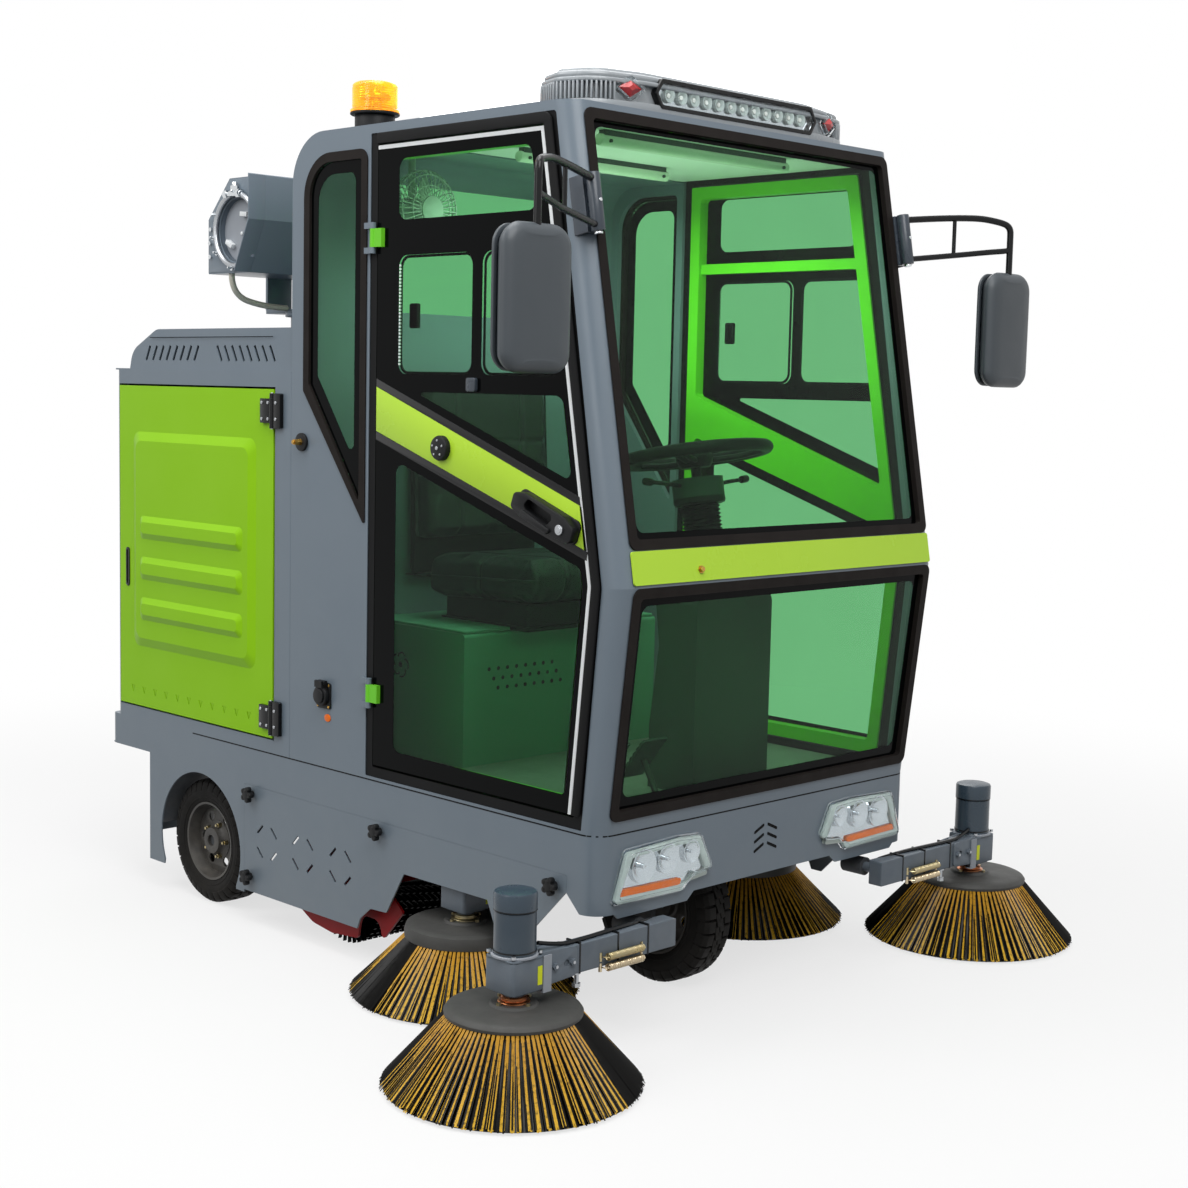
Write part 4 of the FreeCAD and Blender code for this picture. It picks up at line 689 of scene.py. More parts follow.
def front_arm(side_name, side):
    body = "front_arm_" + side_name
    x, z = 856, ARM_HEIGHT
    beam = arm_beam(x, -692, -364, -757, -690)
    beam.box((x - 16, -365.5, z - 27), (x + 16, -363.6, z + 27))
    beam.plate("XZ", 746, 758, rectangle(805, 197, 879, 271, 8), edge=1.5)
    beam.plate("XY", 264, 268, [(x - 23, -752, 5), (x + 23, -752, 5), (x + 19, -690, 5), (x - 19, -690, 5)], edge=0.6)
    beam.rod((742, -400, z), (x + 18, -400, z), 12, round_by=1)
    pins = Form().rod((x, -640, 176), (x, -640, z - 29), 5, sides=16)
    for low, high in ((171, 179), (z - 38, z - 30)):
        pins.rod((x, -640, low), (x, -640, high), 9, sides=6)
    for y in (-676, -724):
        pins.rod((x - 31, y, z), (x + 31, y, z), 3.5)
        for head in (x - 30, x + 23):
            beam.rod((head, y, z), (head + 6, y, z), 7.5, sides=6)
    beam.facing(side).done(body + "_beam", ENAMEL, "motor_paint", body, smooth=30, replaces=(body,))
    motor_stack(body, FRONT_BRUSH[0], side * FRONT_BRUSH[1], 397)
    bracket = Form().box((x + 23.2, -757, 192), (x + 26.2, -735, 264)).box((x + 10, -757, 189), (x + 26.2, -735, 192))
    bracket.facing(side).done(body + "_bracket", ZINC_SHEET, "motor_paint", body, smooth=0)
    pins.facing(side).done(body + "_pins", STEEL, "brass", body, smooth=30)
    hook = x + 31
    for height, material, name in ((z - 8, ZINC, "_upper_spring"), (z - 30, SPRING_WIRE, "_lower_spring")):
        spring = Form()
        first, last = -478, -582
        coil(spring, (hook, first, height), (hook, last, height), 7.0, 1.35, 36)
        for end, out in ((first, 8), (last, -8)):
            spring.tube([(hook + 6, end, height), (hook, end + out * 0.6, height), (hook - 6, end + out, height),
                         (x + 16, end + out, height)], 1.5, sides=8)
            spring.rod((x + 18, end + out, height - 10), (x + 18, end + out, height + 8), 4, sides=12)
        spring.facing(side).done(body + name, material, "brass", body, smooth=50)
    lead = Form().tube([(858, -752, 285), (866, -700, 272), (862, -640, 270), (858, -560, 271), (850, -470, 270),
                        (838, -400, 262)], 4.5, sides=10)
    for tie in (-650, -540, -450):
        lead.box((x - 20, tie - 2, z - 31), (x + 20, tie + 2, z + 34))
    lead.facing(side).done(body + "_lead", SMOOTH_ABS, "hose_rubber", body, smooth=50)


def mid_arm(side_name, side):
    body = "mid_arm_" + side_name
    x = MID_BRUSH[0]
    beam = arm_beam(x, -384, -114, -449, -380)
    beam.plate("XZ", 438, 450, rectangle(305, 197, 371, 271, 8), edge=1.5)
    beam.rod((x - 56, -150, ARM_HEIGHT), (x + 52, -150, ARM_HEIGHT), 12)
    beam.facing(side).done(body + "_beam", ENAMEL, "motor_paint", body, smooth=30, replaces=(body,))
    motor_stack(body, x, side * MID_BRUSH[1], 344)


for side_name, side in SIDES:
    front_arm(side_name, side)
    mid_arm(side_name, side)


# Wheels

TYRE_WIDTH, LUGS = 100, 34


def axle_frame(x, y, radius, side):
    """Turns a shape made about Z onto a wheel's axle, with its upper face outwards."""
    return Matrix.Translation((x, y, radius)) @ Matrix.Rotation(math.radians(90 if side < 0 else -90), 4, "X")


def tyre(body, prefix, radius, place):
    """Carcass with a raised ring on each wall, and two rows of lugs on each shoulder and the tread."""
    half, seat = TYRE_WIDTH / 2, radius * 0.6
    wall = [(seat, 0.70), (seat + 4, 0.80), (seat + 12, 0.90), (seat + 26, 0.97), (radius - 34, 0.99),
            (radius - 22, 0.95), (radius - 12, 0.84), (radius - 10, 0.70)]
    profile = [(r, -half * w) for r, w in wall] + [(radius - 9, 0)] + [(r, half * w) for r, w in reversed(wall)]
    carcass = Form().lathe((0, 0, 0), Z, profile, 96)
    for edge in (-1, 1):
        carcass.lathe((0, 0, 0), Z, [(seat + 15, edge * half * 0.90), (seat + 16, edge * half * 0.945),
                                     (seat + 18.5, edge * half * 0.955), (seat + 20, edge * half * 0.93)], 72)
    carcass.done(prefix + "_carcass", TYRE, "tyre_rubber", body, smooth=50, replaces=(prefix + "_tyre",), place=place)
    pitch = 2 * math.pi * radius / LUGS
    shoulder = Form().plate("XZ", -pitch * 0.40, pitch * 0.40, [
        (radius - 16, half * 0.30), (radius - 0.5, half * 0.30, 1), (radius - 1, half * 0.70, 2),
        (radius - 9, half * 0.88, 3), (radius - 27, half * 0.995, 2), (radius - 31, half * 0.97),
        (radius - 18, half * 0.70)], edge=0.8)
    centre = Form().plate("XY", -pitch * 0.5, pitch * 0.5, [
        (radius - 16, -half * 0.02), (radius - 0.2, -half * 0.02, 1), (radius - 0.2, half * 0.24, 1),
        (radius - 16, half * 0.24)], edge=0.6,
        place=Matrix.Rotation(math.radians(90), 4, "X") @ Matrix.Rotation(math.radians(14), 4, "X"))
    for name, lug, shift in (("shoulder", shoulder, 0.0), ("centre", centre, 0.5)):
        row = set_out(lug, TYRE, LUGS)
        other = row.copy()
        other.transform(Matrix.Rotation(2 * math.pi / LUGS * (0.5 + shift), 4, "Z") @ Matrix.Rotation(math.pi, 4, "X"))
        row.transform(Matrix.Rotation(2 * math.pi / LUGS * shift, 4, "Z"))
        lugs = Form().take(row).take(other)
        lugs.done("%s_%s_lugs" % (prefix, name), TYRE, "tyre_rubber", body, smooth=30, place=place)


def disc_wheel(body, prefix, radius, bore, place):
    """Pressed disc wheel: rolled rim, dished disc with round vents, hub and studs with nuts."""
    edge = radius * 0.6
    lip, middle = TYRE_WIDTH * 0.36, TYRE_WIDTH * 0.175
    barrel = Form().lathe((0, 0, 0), Z, [
        (edge - 0.3, -lip), (edge + 5, -lip - 4), (edge + 5, -lip - 7), (edge - 1, -lip - 6), (edge - 4, -lip + 2),
        (edge - 9, -lip + 12), (edge - 12, -middle), (edge - 12, middle - 10), (edge - 7, lip - 14),
        (edge - 4, lip - 3), (edge - 1, lip + 6), (edge + 5, lip + 7), (edge + 5, lip + 4), (edge - 0.3, lip),
        (edge - 0.3, 0)], 88)
    first = 0.5 if prefix == "front" else 0
    vents = [circle(edge * 0.66 * math.cos(a), edge * 0.66 * math.sin(a), edge * 0.125, 24)
             for a in (2 * math.pi * (i + first) / 6 for i in range(6))]
    barrel.plate("XY", middle - 10, middle - 5, circle(0, 0, edge - 10, 72), vents + [circle(0, 0, 30, 32)], edge=1.2)
    barrel.lathe((0, 0, 0), Z, [
        (bore, middle - 26), (30, middle - 26), (33, middle - 12), (52, middle - 6), (52, middle - 3.5), (42, middle),
        (36, middle + 6), (34, middle + 18), (bore + 2, middle + 20), (bore, middle + 19)], 56)
    barrel.done(prefix + "_disc_wheel", RIM, "rim_metal", body, smooth=40, replaces=(prefix + "_rim",), place=place)
    nut = Form().rod((44, 0, middle - 4), (44, 0, middle + 8), 7, tip=6, sides=6)
    nut.rod((44, 0, middle + 8), (44, 0, middle + 14), 3.6, sides=12)
    settle(set_out(nut, ZINC, 5), prefix + "_wheel_nuts", ZINC, "rim_metal", body, smooth=30, place=place)


for body, prefix, x, y, radius, bore, side in (
        ("rear_wheel_right", "rear_right", -665, -474, 165, 15.05, -1),
        ("rear_wheel_left", "rear_left", -665, 474, 165, 15.05, 1),
        ("front_wheel", "front", 566, -70, 180, 12.05, 1)):
    place = axle_frame(x, y, radius, side)
    tyre(body, prefix, radius, place)
    disc_wheel(body, prefix, radius, bore, place)


# Light bar and beacon on the roof

BAR_PLAN = [(452, -428, 50), (555, -460, 60), (639, -428, 90), (670, -300, 200), (670, 300, 200), (639, 428, 90),
            (555, 460, 60), (452, 428, 50)]


def inset(outline, by, rear=452):
    """The bar's plan drawn smaller all round."""
    return [(u - by if u > rear + 1 else u + by, v * (1 - by / 440), max(r - by, 4)) for u, v, r in outline]


base = Form().plate("XY", ROOF, ROOF + 20, inset(BAR_PLAN, 2), edge=3)
base.plate("XY", ROOF + 19, ROOF + 58, inset(BAR_PLAN, 16))
base.done("light_bar_base", BAR_ABS, "grey_plastic", smooth=30, replaces=("light_bar",))
cover = Form()
for low, high, by, edge in ((56, 66, 4, 3), (64, 80, 10, 7), (76, 91, 34, 7)):
    cover.plate("XY", ROOF + low, ROOF + high, inset(BAR_PLAN, by), edge=edge)
cover.plate("XZ", 121, 133, [(560, ROOF + 84, 3), (640, ROOF + 72, 3), (640, ROOF + 84, 4), (566, ROOF + 91.5, 3)],
            edge=1)
cover.done("light_bar_cover", BAR_ABS, "grey_plastic", smooth=40, bevel=1.5)


def bar_fins(pitch=9.5):
    """Upright fins that follow the bar's rounded ends."""
    outline = softened(inset(BAR_PLAN, 9), steps=14)
    fins = Form()
    run = 0.0
    last = outline[0]
    for point in outline[1:]:
        step = point - last
        length = step.length
        while run < length:
            spot = last + step * (run / length)
            if abs(spot.y) > 374 and spot.x > 470:
                turn = math.atan2(step.y, step.x)
                place = Matrix.Translation((spot.x, spot.y, 0)) @ Matrix.Rotation(turn, 4, "Z")
                fins.box((-2.2, -7.5, ROOF + 20), (2.2, 6, ROOF + 57), place)
            run += pitch
        run -= length
        last = point
    return fins


bar_fins().done("light_bar_fins", BAR_ABS, "grey_plastic", smooth=30, bevel=0.8)


def bar_face(u):
    """How far ahead the bar's front stands at a place across it."""
    far = max(0.0, abs(u) - 276)
    return 663 - min(far, 48) ** 2 / 400 - max(0.0, far - 48) * 0.246


def on_bar(u):
    """A place on the bar's front, turned to face the way the front does there."""
    slope = (bar_face(u + 1) - bar_face(u - 1)) / 2
    return Matrix.Translation((bar_face(u), u, 0)) @ Matrix.Rotation(math.atan(-slope), 4, "Z")


BAR_LEVEL = ROOF + 45  # the middle of the bar's window


def window_outline(grow):
    """The long six-sided window of the bar, drawn across and up."""
    wide, up = 250 + grow * 0.6, 23 + grow
    return [(-266 - grow, BAR_LEVEL, 5), (-wide, BAR_LEVEL - up, 8), (wide, BAR_LEVEL - up, 8),
            (266 + grow, BAR_LEVEL, 5), (wide, BAR_LEVEL + up, 8), (-wide, BAR_LEVEL + up, 8)]


def bowed(form):
    """Cuts a flat front piece across and bends it onto the bar's curve; x is measured from the bar's face."""
    for y in range(-440, 441, 16):
        geometry = form.bm.verts[:] + form.bm.edges[:] + form.bm.faces[:]
        bmesh.ops.bisect_plane(form.bm, geom=geometry, plane_co=(0, y, 0), plane_no=Y)
    for vert in form.bm.verts:
        vert.co.x += bar_face(vert.co.y)
    return form


for name, material, slot, low, high, grow, holes, edge in (
        ("light_bar_window_frame", SMOOTH_ABS, "grey_plastic", -12, 7, 9, [window_outline(0)], 1.5),
        ("light_bar_tray", REFLECTOR, "lamp_lens", -12, -7, 0.5, (), 0),
        ("light_bar_window", LENS, "lamp_lens", 2, 4, -0.3, (), 0)):
    flat = Form().plate("YZ", low, high, window_outline(grow), holes, edge)
    bowed(flat).done(name, material, slot, smooth=30)
diodes, cups = Form(), Form()
for index in range(12):
    place = on_bar(-224.4 + index * 40.8)
    foot = place @ Vector((-7, 0, BAR_LEVEL))
    diodes.rod(foot, place @ Vector((-2.5, 0, BAR_LEVEL)), 5.5, sides=16, round_by=1.5)
    cups.lathe(foot, place.to_3x3() @ X, [(6, 0), (8, 3), (12, 6), (14.5, 7), (15.5, 7), (15.5, 0)], 28)
diodes.done("light_bar_diodes", LED, "lamp_lens")
cups.done("light_bar_cups", WHITE_ABS, "lamp_lens")


def diamond(wide, high, third=0):
    """Four corners, each with a third value: the radius that rounds it, or its height."""
    return [(-wide, 0, third), (0, -high, third), (wide, 0, third), (0, high, third)]


reflexes, surrounds = Form(), Form()
for side in (-1, 1):
    place = Matrix.Translation((0, 0, BAR_LEVEL + 2)) @ on_bar(side * 338) @ PLANES["YZ"]
    surrounds.plate("XY", -6, 5, diamond(42, 28, 6), [diamond(31, -20, 3)], edge=1.5, place=place)
    reflexes.loft([[place @ Vector(p) for p in diamond(30, 19)], [place @ Vector(p) for p in diamond(9, 6, 10)]])
surrounds.done("light_bar_reflex_surrounds", LENS, "lamp_lens", smooth=30)
reflexes.done("light_bar_reflexes", RED_LENS, "lamp_lens", smooth=10)

BEACON = (-85, -440, ROOF)
stand = Form().lathe(BEACON, Z, [(0, 0), (50, 0), (50, 3), (47.5, 5), (47.5, 38), (46, 41), (0, 41)], 64)
stand.lathe(BEACON, Z, [(40, 41), (56, 41), (58.5, 43), (58.5, 46), (56, 48), (40, 48)], 72)
stand.done("beacon_stand", BLACK_ABS, "black_plastic", replaces=("beacon",))
rungs = []
for index in range(9):
    low = 56 + index * 5.6
    rungs += [(54.2, low), (54.2, low + 3.2), (53.0, low + 4.0), (53.0, low + 4.9)]
dome = Form().lathe(BEACON, Z, [(50, 48), (58.5, 48), (58.5, 53), (56, 55)] + rungs + [
    (54, 108), (52, 112.5), (46, 116.5), (36, 118.2), (0, 118.8), (0, 116), (36, 115.5), (45, 113.5), (49.5, 109),
    (50.5, 104), (50.5, 54)], 84)
dome.done("beacon_dome", AMBER, "beacon_amber", smooth=50)
lamp = Form().lathe(BEACON, Z, [(0, 44), (30, 44), (30, 52), (17, 58), (17, 74), (36, 78), (38, 84), (36, 90), (17, 94),
                            (12, 104), (0, 105)], 40)
lamp.done("beacon_lamp", REFLECTOR, "lamp_lens", smooth=40)


# Headlamps

def lamp_outline(by, up=0.0):
    """The headlamp's outline on the right side, drawn smaller by a few millimetres."""
    corners = [(-505, 302, 10), (-468, 418, 14), (-300, 424, 30), (-228, 420, 16), (-190, 345, 8), (-250, 340, 10),
               (-285, 298, 12)]
    return [(u + (by * 1.15 if u < -372 else -by), v + up + (by if v < 338 else -by), max(r - by * 0.4, 3))
            for u, v, r in corners]


def lamp_ring(by, x, up):
    return [Vector((x, p[0], p[1])) for p in softened(lamp_outline(by, up))]


lens = Form().loft([lamp_ring(by, x, up) for by, x, up in (
    (0, 813, 0), (1, 820, 1), (4, 826, 2), (9, 829.5, 3), (11, 829.9, 3), (11, 827.5, 3), (9, 827, 3), (4, 823, 2),
    (2.5, 813, 1))], closed=True)
lens.plate("YZ", 827.5, 829.9, lamp_outline(11.2, 3))
lens.mirrored().done("headlamp_lenses", LENS, "lamp_lens", smooth=30)
bezel = Form().plate("YZ", APRON + 0.3, 822, lamp_outline(5), [lamp_outline(19)], edge=1.5)
bezel.mirrored().done("headlamp_bezels", WHITE_ABS, "lamp_lens", smooth=30, replaces=("headlamps",))
back = Form().plate("YZ", APRON + 0.3, 815, lamp_outline(7))
for y, z, radius in ((-412, 376, 35), (-336, 380, 31), (-262, 384, 24)):
    back.lathe((814, y, z), X, [(4, 0.5), (radius * 0.45, 1.5), (radius * 0.75, 4), (radius, 9), (radius + 2, 9),
                                (radius + 2, 0)], 36)
    back.rod((814, y, z), (823, y, z), radius * 0.16, sides=16, round_by=2)
back.mirrored().done("headlamp_reflectors", REFLECTOR, "lamp_lens")
strip = Form().plate("YZ", 815, 821, [(-484, 309, 5), (-474, 335, 5), (-289, 331, 6), (-302, 306, 5)], edge=1)
strip.mirrored().done("headlamp_orange_strips", ORANGE_LENS, "lamp_lens", smooth=30)


# Mirrors

heads = Form().plate("YZ", 842, 897, [(-891, 1406, 40), (-713, 1406, 40), (-713, 1689, 46), (-891, 1689, 46)], edge=26)
for vert in heads.bm.verts:
    bulge = (1 - ((vert.co.y + 802) / 92) ** 2) * (1 - ((vert.co.z - 1547) / 146) ** 2)
    if vert.co.x > 875:
        vert.co.x = 880 + 18 * max(0.0, min(1.0, bulge)) ** 0.5 - (898 - vert.co.x) * 0.2
heads.plate("YZ", 838, 845, rectangle(-888, 1409, -716, 1686, 42), [rectangle(-878, 1419, -726, 1676, 34)], edge=2)
heads.mirrored().done("mirror_heads_grained", GREY_ABS, "grey_plastic", smooth=45, levels=1,
                      replaces=("mirror_heads",))
silver = Form().plate("YZ", 840.5, 843, rectangle(-879, 1418, -725, 1677, 35))
silver.mirrored().done("mirror_glass", MIRROR, "rim_metal", smooth=30)


def on_screen(u, v, w):
    """A place on the upper windscreen's slope, w ahead of it."""
    return UPPER_SCREEN @ Vector((u, v, w))


bars = Form()
bars.tube([on_screen(-530, 836, 22), (816, -700, 1822), (858, -782, 1812), (871, -801, 1800), (871, -802, 1770),
           (871, -802, 1662)], 8, sides=20)
bars.tube([on_screen(-530, 740, 22), (805, -668, 1726), (846, -752, 1738), (866, -790, 1742), (868, -796, 1744)], 7,
          sides=20)
bars.tube([(800, -664, 1722), (800, -664, 1816)], 5, smooth=False)
bars.mirrored().done("mirror_bars", SMOOTH_ABS, "black_plastic", smooth=50, replaces=("mirror_arms",))
clamps = Form().rod(on_screen(-530, 728, 22), on_screen(-530, 848, 22), 15, sides=48, round_by=1.5)
clamps.plate("XY", 0.6, 9, rectangle(-547, 728, -514, 848, 3), edge=1, place=UPPER_SCREEN)
clamps.plate("XY", -30, 9, rectangle(-547.5, 728, -541.5, 848, 2), edge=1, place=UPPER_SCREEN)
clamps.mirrored().done("mirror_clamps", SLATE, "grey_paint")
clamp_screws = Form().rod(on_screen(-530, 722, 22), on_screen(-530, 728, 22), 9, round_by=1)
clamp_screws.rod(on_screen(-530, 790, 36), on_screen(-530, 790, 39), 4, sides=16, round_by=1)
clamp_screws.mirrored().done("mirror_clamp_screws", REFLECTOR, "brass")


# Cab doors: black fired borders, edge trim, lime bands, lock and pull handle

def band_top(x):
    return 1375 - 0.34685 * (x - 65)


def band_bottom(x):
    return 1273 - 0.32308 * (x - 65)


UPPER_PANE = [(66.5, 1379.5, 3), (746, 1148, 3), (609, 1916, 3), (66.5, 1916, 3)]
LOWER_PANE = [(66.5, 491.5, 2), (730.6, 491.5, 2), (776, 975, 3), (769, band_bottom(769) - 8, 3),
              (66.5, band_bottom(66.5) - 8, 3)]
UPPER_CLEAR = [[(142, 1748, 24), (598, 1748, 24), (574, 1884, 24), (142, 1884, 24)],
               rectangle(144, 1404, 396, 1669, 26),
               [(428, 1404, 26), (680, 1404, 26), (634, 1669, 26), (428, 1669, 26)],
               [(206, 1364, 4), (716, 1188, 14), (686, 1364, 30)]]
LOWER_CLEAR = [[(141, 534, 22), (716, 530, 16), (755, 975, 30), (748, band_bottom(748) - 42, 22),
                (141, band_bottom(141) - 42, 22)]]


def cab_door(side_name, side):
    body = "cab_door_" + side_name
    border = Form().plate("XZ", DOOR + 0.05, DOOR + 0.4, UPPER_PANE, UPPER_CLEAR)
    border.plate("XZ", DOOR + 0.05, DOOR + 0.4, LOWER_PANE, LOWER_CLEAR)
    border.facing(side).done(body + "_fired_border", FRIT_AND_PAINTED_SHADE, "tinted_glass", body, smooth=30)
    trim = Form()
    for level, front, slant, low, high in ((band_top, 745, -4, 0, 19), (band_bottom, 766, 2, -19, 0)):
        trim.plate("XZ", DOOR, DOOR + 1.6, [(67, level(67) + low, 1), (front, level(front) + low, 1),
                                            (front + slant, level(front) + high, 1), (67, level(67) + high, 1)],
                   edge=0.6)
    trim.facing(side).done(body + "_band_trim", SMOOTH_ABS, "black_seal", body, smooth=30)
    band = Form().plate("XZ", DOOR, DOOR + 1.2, [(67, 1273), (766, band_bottom(766)), (747, band_top(747)),
                                                 (67, 1374)], edge=0.4)
    band.facing(side).done(body + "_lime_band", LIME_BAND, "lime_paint", body, smooth=30)
    line = Form().plate("XZ", DOOR, DOOR + 1.2, [
        (66, 1917.6, 1), (611.6, 1917.6, 1), (779.5, 975, 30), (734.5, 491, 1), (725, 491, 1), (770, 975, 28),
        (603.6, 1908.5, 2), (66, 1908.5, 1)], edge=0.4)
    line.facing(side).done(body + "_edge_line", EDGE, "white_plastic", body, smooth=30)
    outer = [(65.6, 491), (735.4, 491), (780.4, 975), (612.4, 1918.4), (65.6, 1918.4)]
    inner = [(66.1, 491), (734.9, 491), (779.9, 975), (612.0, 1917.9), (66.1, 1917.9)]
    edge = Form().plate("XZ", 516, DOOR, outer[1:] + inner[:0:-1] + inner[:1] + outer[:1])
    edge.facing(side).done(body + "_edge_trim", SEAL, "black_seal", body, smooth=0)
    slider = Form()
    for pane, middle in zip(UPPER_CLEAR[1:3], (270, 550)):
        inner = [(u + (6 if u < middle else -6), v + (6 if v < 1500 else -6), r - 4) for u, v, r in pane]
        slider.plate("XZ", 538, 541, pane, [inner], edge=0.8)
    slider.facing(side).done(body + "_slider_frames", SMOOTH_ABS, "black_plastic", body, smooth=30)
    pad = Form().plate("XZ", DOOR, DOOR + 10, rectangle(388, 1368, 418, 1398, 5), edge=2)
    pad.facing(side).done(body + "_slider_pad", SLATE, "grey_plastic", body, smooth=30)
    # Row of bright white dashes down the slider's edge: a pale grey brush seal, with its highlights painted in as
    # white.
    pale = Form()
    for row in range(30):
        pale.box((144.5, -DOOR - 0.2, 1424 + row * 7.6), (149, -541.5, 1428.5 + row * 7.6))
    pale.facing(side).done(body + "_slider_seal_and_painted_highlights", EDGE, "white_plastic", body, smooth=0)
    latch = Form().plate("XZ", 532, 541, rectangle(176, 1506, 206, 1562, 5), edge=2)
    latch.plate("XZ", 524, 533, rectangle(184, 1510, 194, 1558, 4), edge=2)
    latch.facing(side).done(body + "_slider_latch", BLACK_ABS, "black_plastic", body, smooth=30)
    lock_x, lock_z = 303, 1242
    handle = Form().lathe((lock_x, -DOOR, lock_z), -Y, [(0, 0), (28, 0), (28, 10), (26, 14), (21, 16), (0, 16.6)], 56)
    tilt = Matrix.Translation((652, 0, 1112)) @ Matrix.Rotation(math.radians(20), 4, "Y") @ PLANES["XZ"]
    handle.plate("XY", DOOR, DOOR + 6, rectangle(-97, -27, 97, 27, 16), edge=2, place=tilt)
    handle.plate("XY", 550, 572, [(-97, -18, 10), (-60, -27, 12), (50, -27, 10), (97, -20, 12), (97, 14, 12),
                                  (60, 27, 10), (-66, 27, 12), (-97, 16, 10)],
                 [[(-62, -4, 8), (20, -10, 8), (34, 14, 8), (-50, 19, 8)]], edge=3, place=tilt)
    handle.plate("XY", 560, 579, [(-60, -22, 5), (30, -26, 5), (44, -12, 6), (-56, -6, 5)], edge=3, place=tilt)
    handle.facing(side).done(body + "_pull_handle", BLACK_ABS, "black_plastic", body, replaces=(body + "_handle",))
    bright = Form()
    for angle in (90, 162, 234, 306, 18):
        spot = Vector((lock_x + 17 * math.cos(math.radians(angle)), 0, lock_z + 17 * math.sin(math.radians(angle))))
        bright.rod(spot - Y * 561, spot - Y * 564, 2.6, sides=12, round_by=0.8)
    bright.rod((lock_x, -562, lock_z), (lock_x, -565, lock_z), 4.5, sides=16, round_by=1)
    key = tilt @ Vector((62, -2, 0))
    bright.rod(key - Y * 571, key - Y * 577, 11, sides=32, round_by=1.5)
    bright.rod(key - Y * 577, key - Y * 578.2, 7, round_by=0.5)
    bright.facing(side).done(body + "_screws_and_key", STEEL, "brass", body, smooth=40)


for side_name, side in SIDES:
    cab_door(side_name, side)

# Hollow rubber bead on the cab, over the top and down the front of each door opening.
bead = Form().plate("XZ", BODY + 0.2, 553, [
    (66, 1921.5), (615, 1921.5, 3), (784, 976, 30), (739, 491), (763, 491, 4), (808, 974, 50), (634, 1946, 24),
    (66, 1946, 4)], edge=3.5)
bead.mirrored().done("door_opening_beads", SEAL, "black_seal", smooth=40)

corner_glass = Form().plate("XZ", 541.05, 541.4, [(-193, 1377, 6), (3, 1107, 4), (3, 1893, 10), (-193, 1893, 80)],
                            [[(-166, 1396, 10), (-24, 1202, 12), (-24, 1866, 22), (-166, 1866, 62)]])
corner_glass.mirrored().done("corner_window_fired_border", FRIT_AND_PAINTED_SHADE, "tinted_glass", smooth=30)
screen_border = Form()
for place, foot, head, side_in, low_in in ((UPPER_SCREEN, 100, 970, 12, 14), (LOWER_SCREEN, 50, 503, 18, 24)):
    screen_border.plate("XY", -8.95, -8.6, rectangle(-491, foot, 491, head, 8),
                        [rectangle(-491 + side_in, foot + low_in, 491 - side_in, head - side_in, 20)], place=place)
screen_border.done("screen_fired_borders", FRIT_AND_PAINTED_SHADE, "tinted_glass", smooth=30)
jet = Form().rod(on_screen(-310, 30, 4), on_screen(-310, 30, 12), 6, round_by=2)
jet.rod(on_screen(-310, 30, 4), on_screen(-310, 30, 6), 9, sides=6)
jet.done("washer_jet", BRASS, "brass")


# Rear doors, side fittings and knobs

LOUVRES = 12
HINGE_X, HINGE_Y = -335.5, -553  # the service doors' pins on the right side
HINGES = (546, 1309)  # heights of the middles of the hinges


def screw_heads(form, spots, face, proud, radius, **more):
    """Screw heads on a right-hand face at y = face that stand proud of it."""
    for x, z in spots:
        form.rod((x, face, z), (x, face - proud, z), radius, **more)
    return form


def service_fittings(side_name, side):
    body = "service_door_" + side_name
    black = Form().plate("XZ", DOOR + 0.5, DOOR + 3.5, rectangle(-1023, 817, -1005, 923, 8),
                         [rectangle(-1018, 824, -1010, 916, 3.5)], edge=1)
    black.plate("XZ", DOOR, DOOR + 1.4, rectangle(-1019, 822, -1009, 918, 4))
    for z in HINGES:
        black.plate("XZ", DOOR, 556.3, rectangle(-383, z - 30, -342, z + 30, 3), edge=1)
        black.rod((HINGE_X, HINGE_Y, z - 29.9), (HINGE_X, HINGE_Y, z + 29.9), 6.5)
    black.facing(side).done(body + "_hinges_and_slot", SMOOTH_ABS, "black_plastic", body)
    screws = screw_heads(Form(), [(x, z + up) for z in HINGES for x in (-374, -348) for up in (-20, 20)],
                         -556, 2.6, 4.2, sides=20, round_by=1)
    screws.facing(side).done(body + "_hinge_screws", STEEL, "brass", body)
    tabs = Form()
    for index in range(LOUVRES):
        middle = -990 + 55 * index
        tabs.plate("XZ", 543.6, DOOR + 0.3, [(middle - 6.6, 546.4), (middle, 531.2), (middle + 6.6, 546.4)])
    tabs.facing(side).done(body + "_louvre_tabs", LIME, "lime_paint", body, smooth=0)


for side_name, side in SIDES:
    service_fittings(side_name, side)

leaves, hinge_pins = Form(), Form()
for z in HINGES:
    leaves.plate("XZ", BODY, 556.3, rectangle(-328.4, z - 43, -299, z + 43, 3), edge=1)
    for low, high in ((z - 43, z - 30.2), (z + 30.2, z + 43)):
        leaves.rod((HINGE_X, HINGE_Y, low), (HINGE_X, HINGE_Y, high), 6.5)
    hinge_pins.rod((HINGE_X, HINGE_Y, z - 45), (HINGE_X, HINGE_Y, z + 45), 3.4, sides=20, round_by=1)
leaves.mirrored().done("service_hinge_leaves", SMOOTH_ABS, "black_plastic")
leaf_screws = screw_heads(Form(), [(-316, z + up) for z in HINGES for up in (-20, 20)], -556, 2.6, 4.2, sides=20,
                          round_by=1)
leaf_screws.mirrored().done("service_hinge_screws", STEEL, "brass")
hinge_pins.mirrored().done("service_hinge_pins", STEEL, "brass")

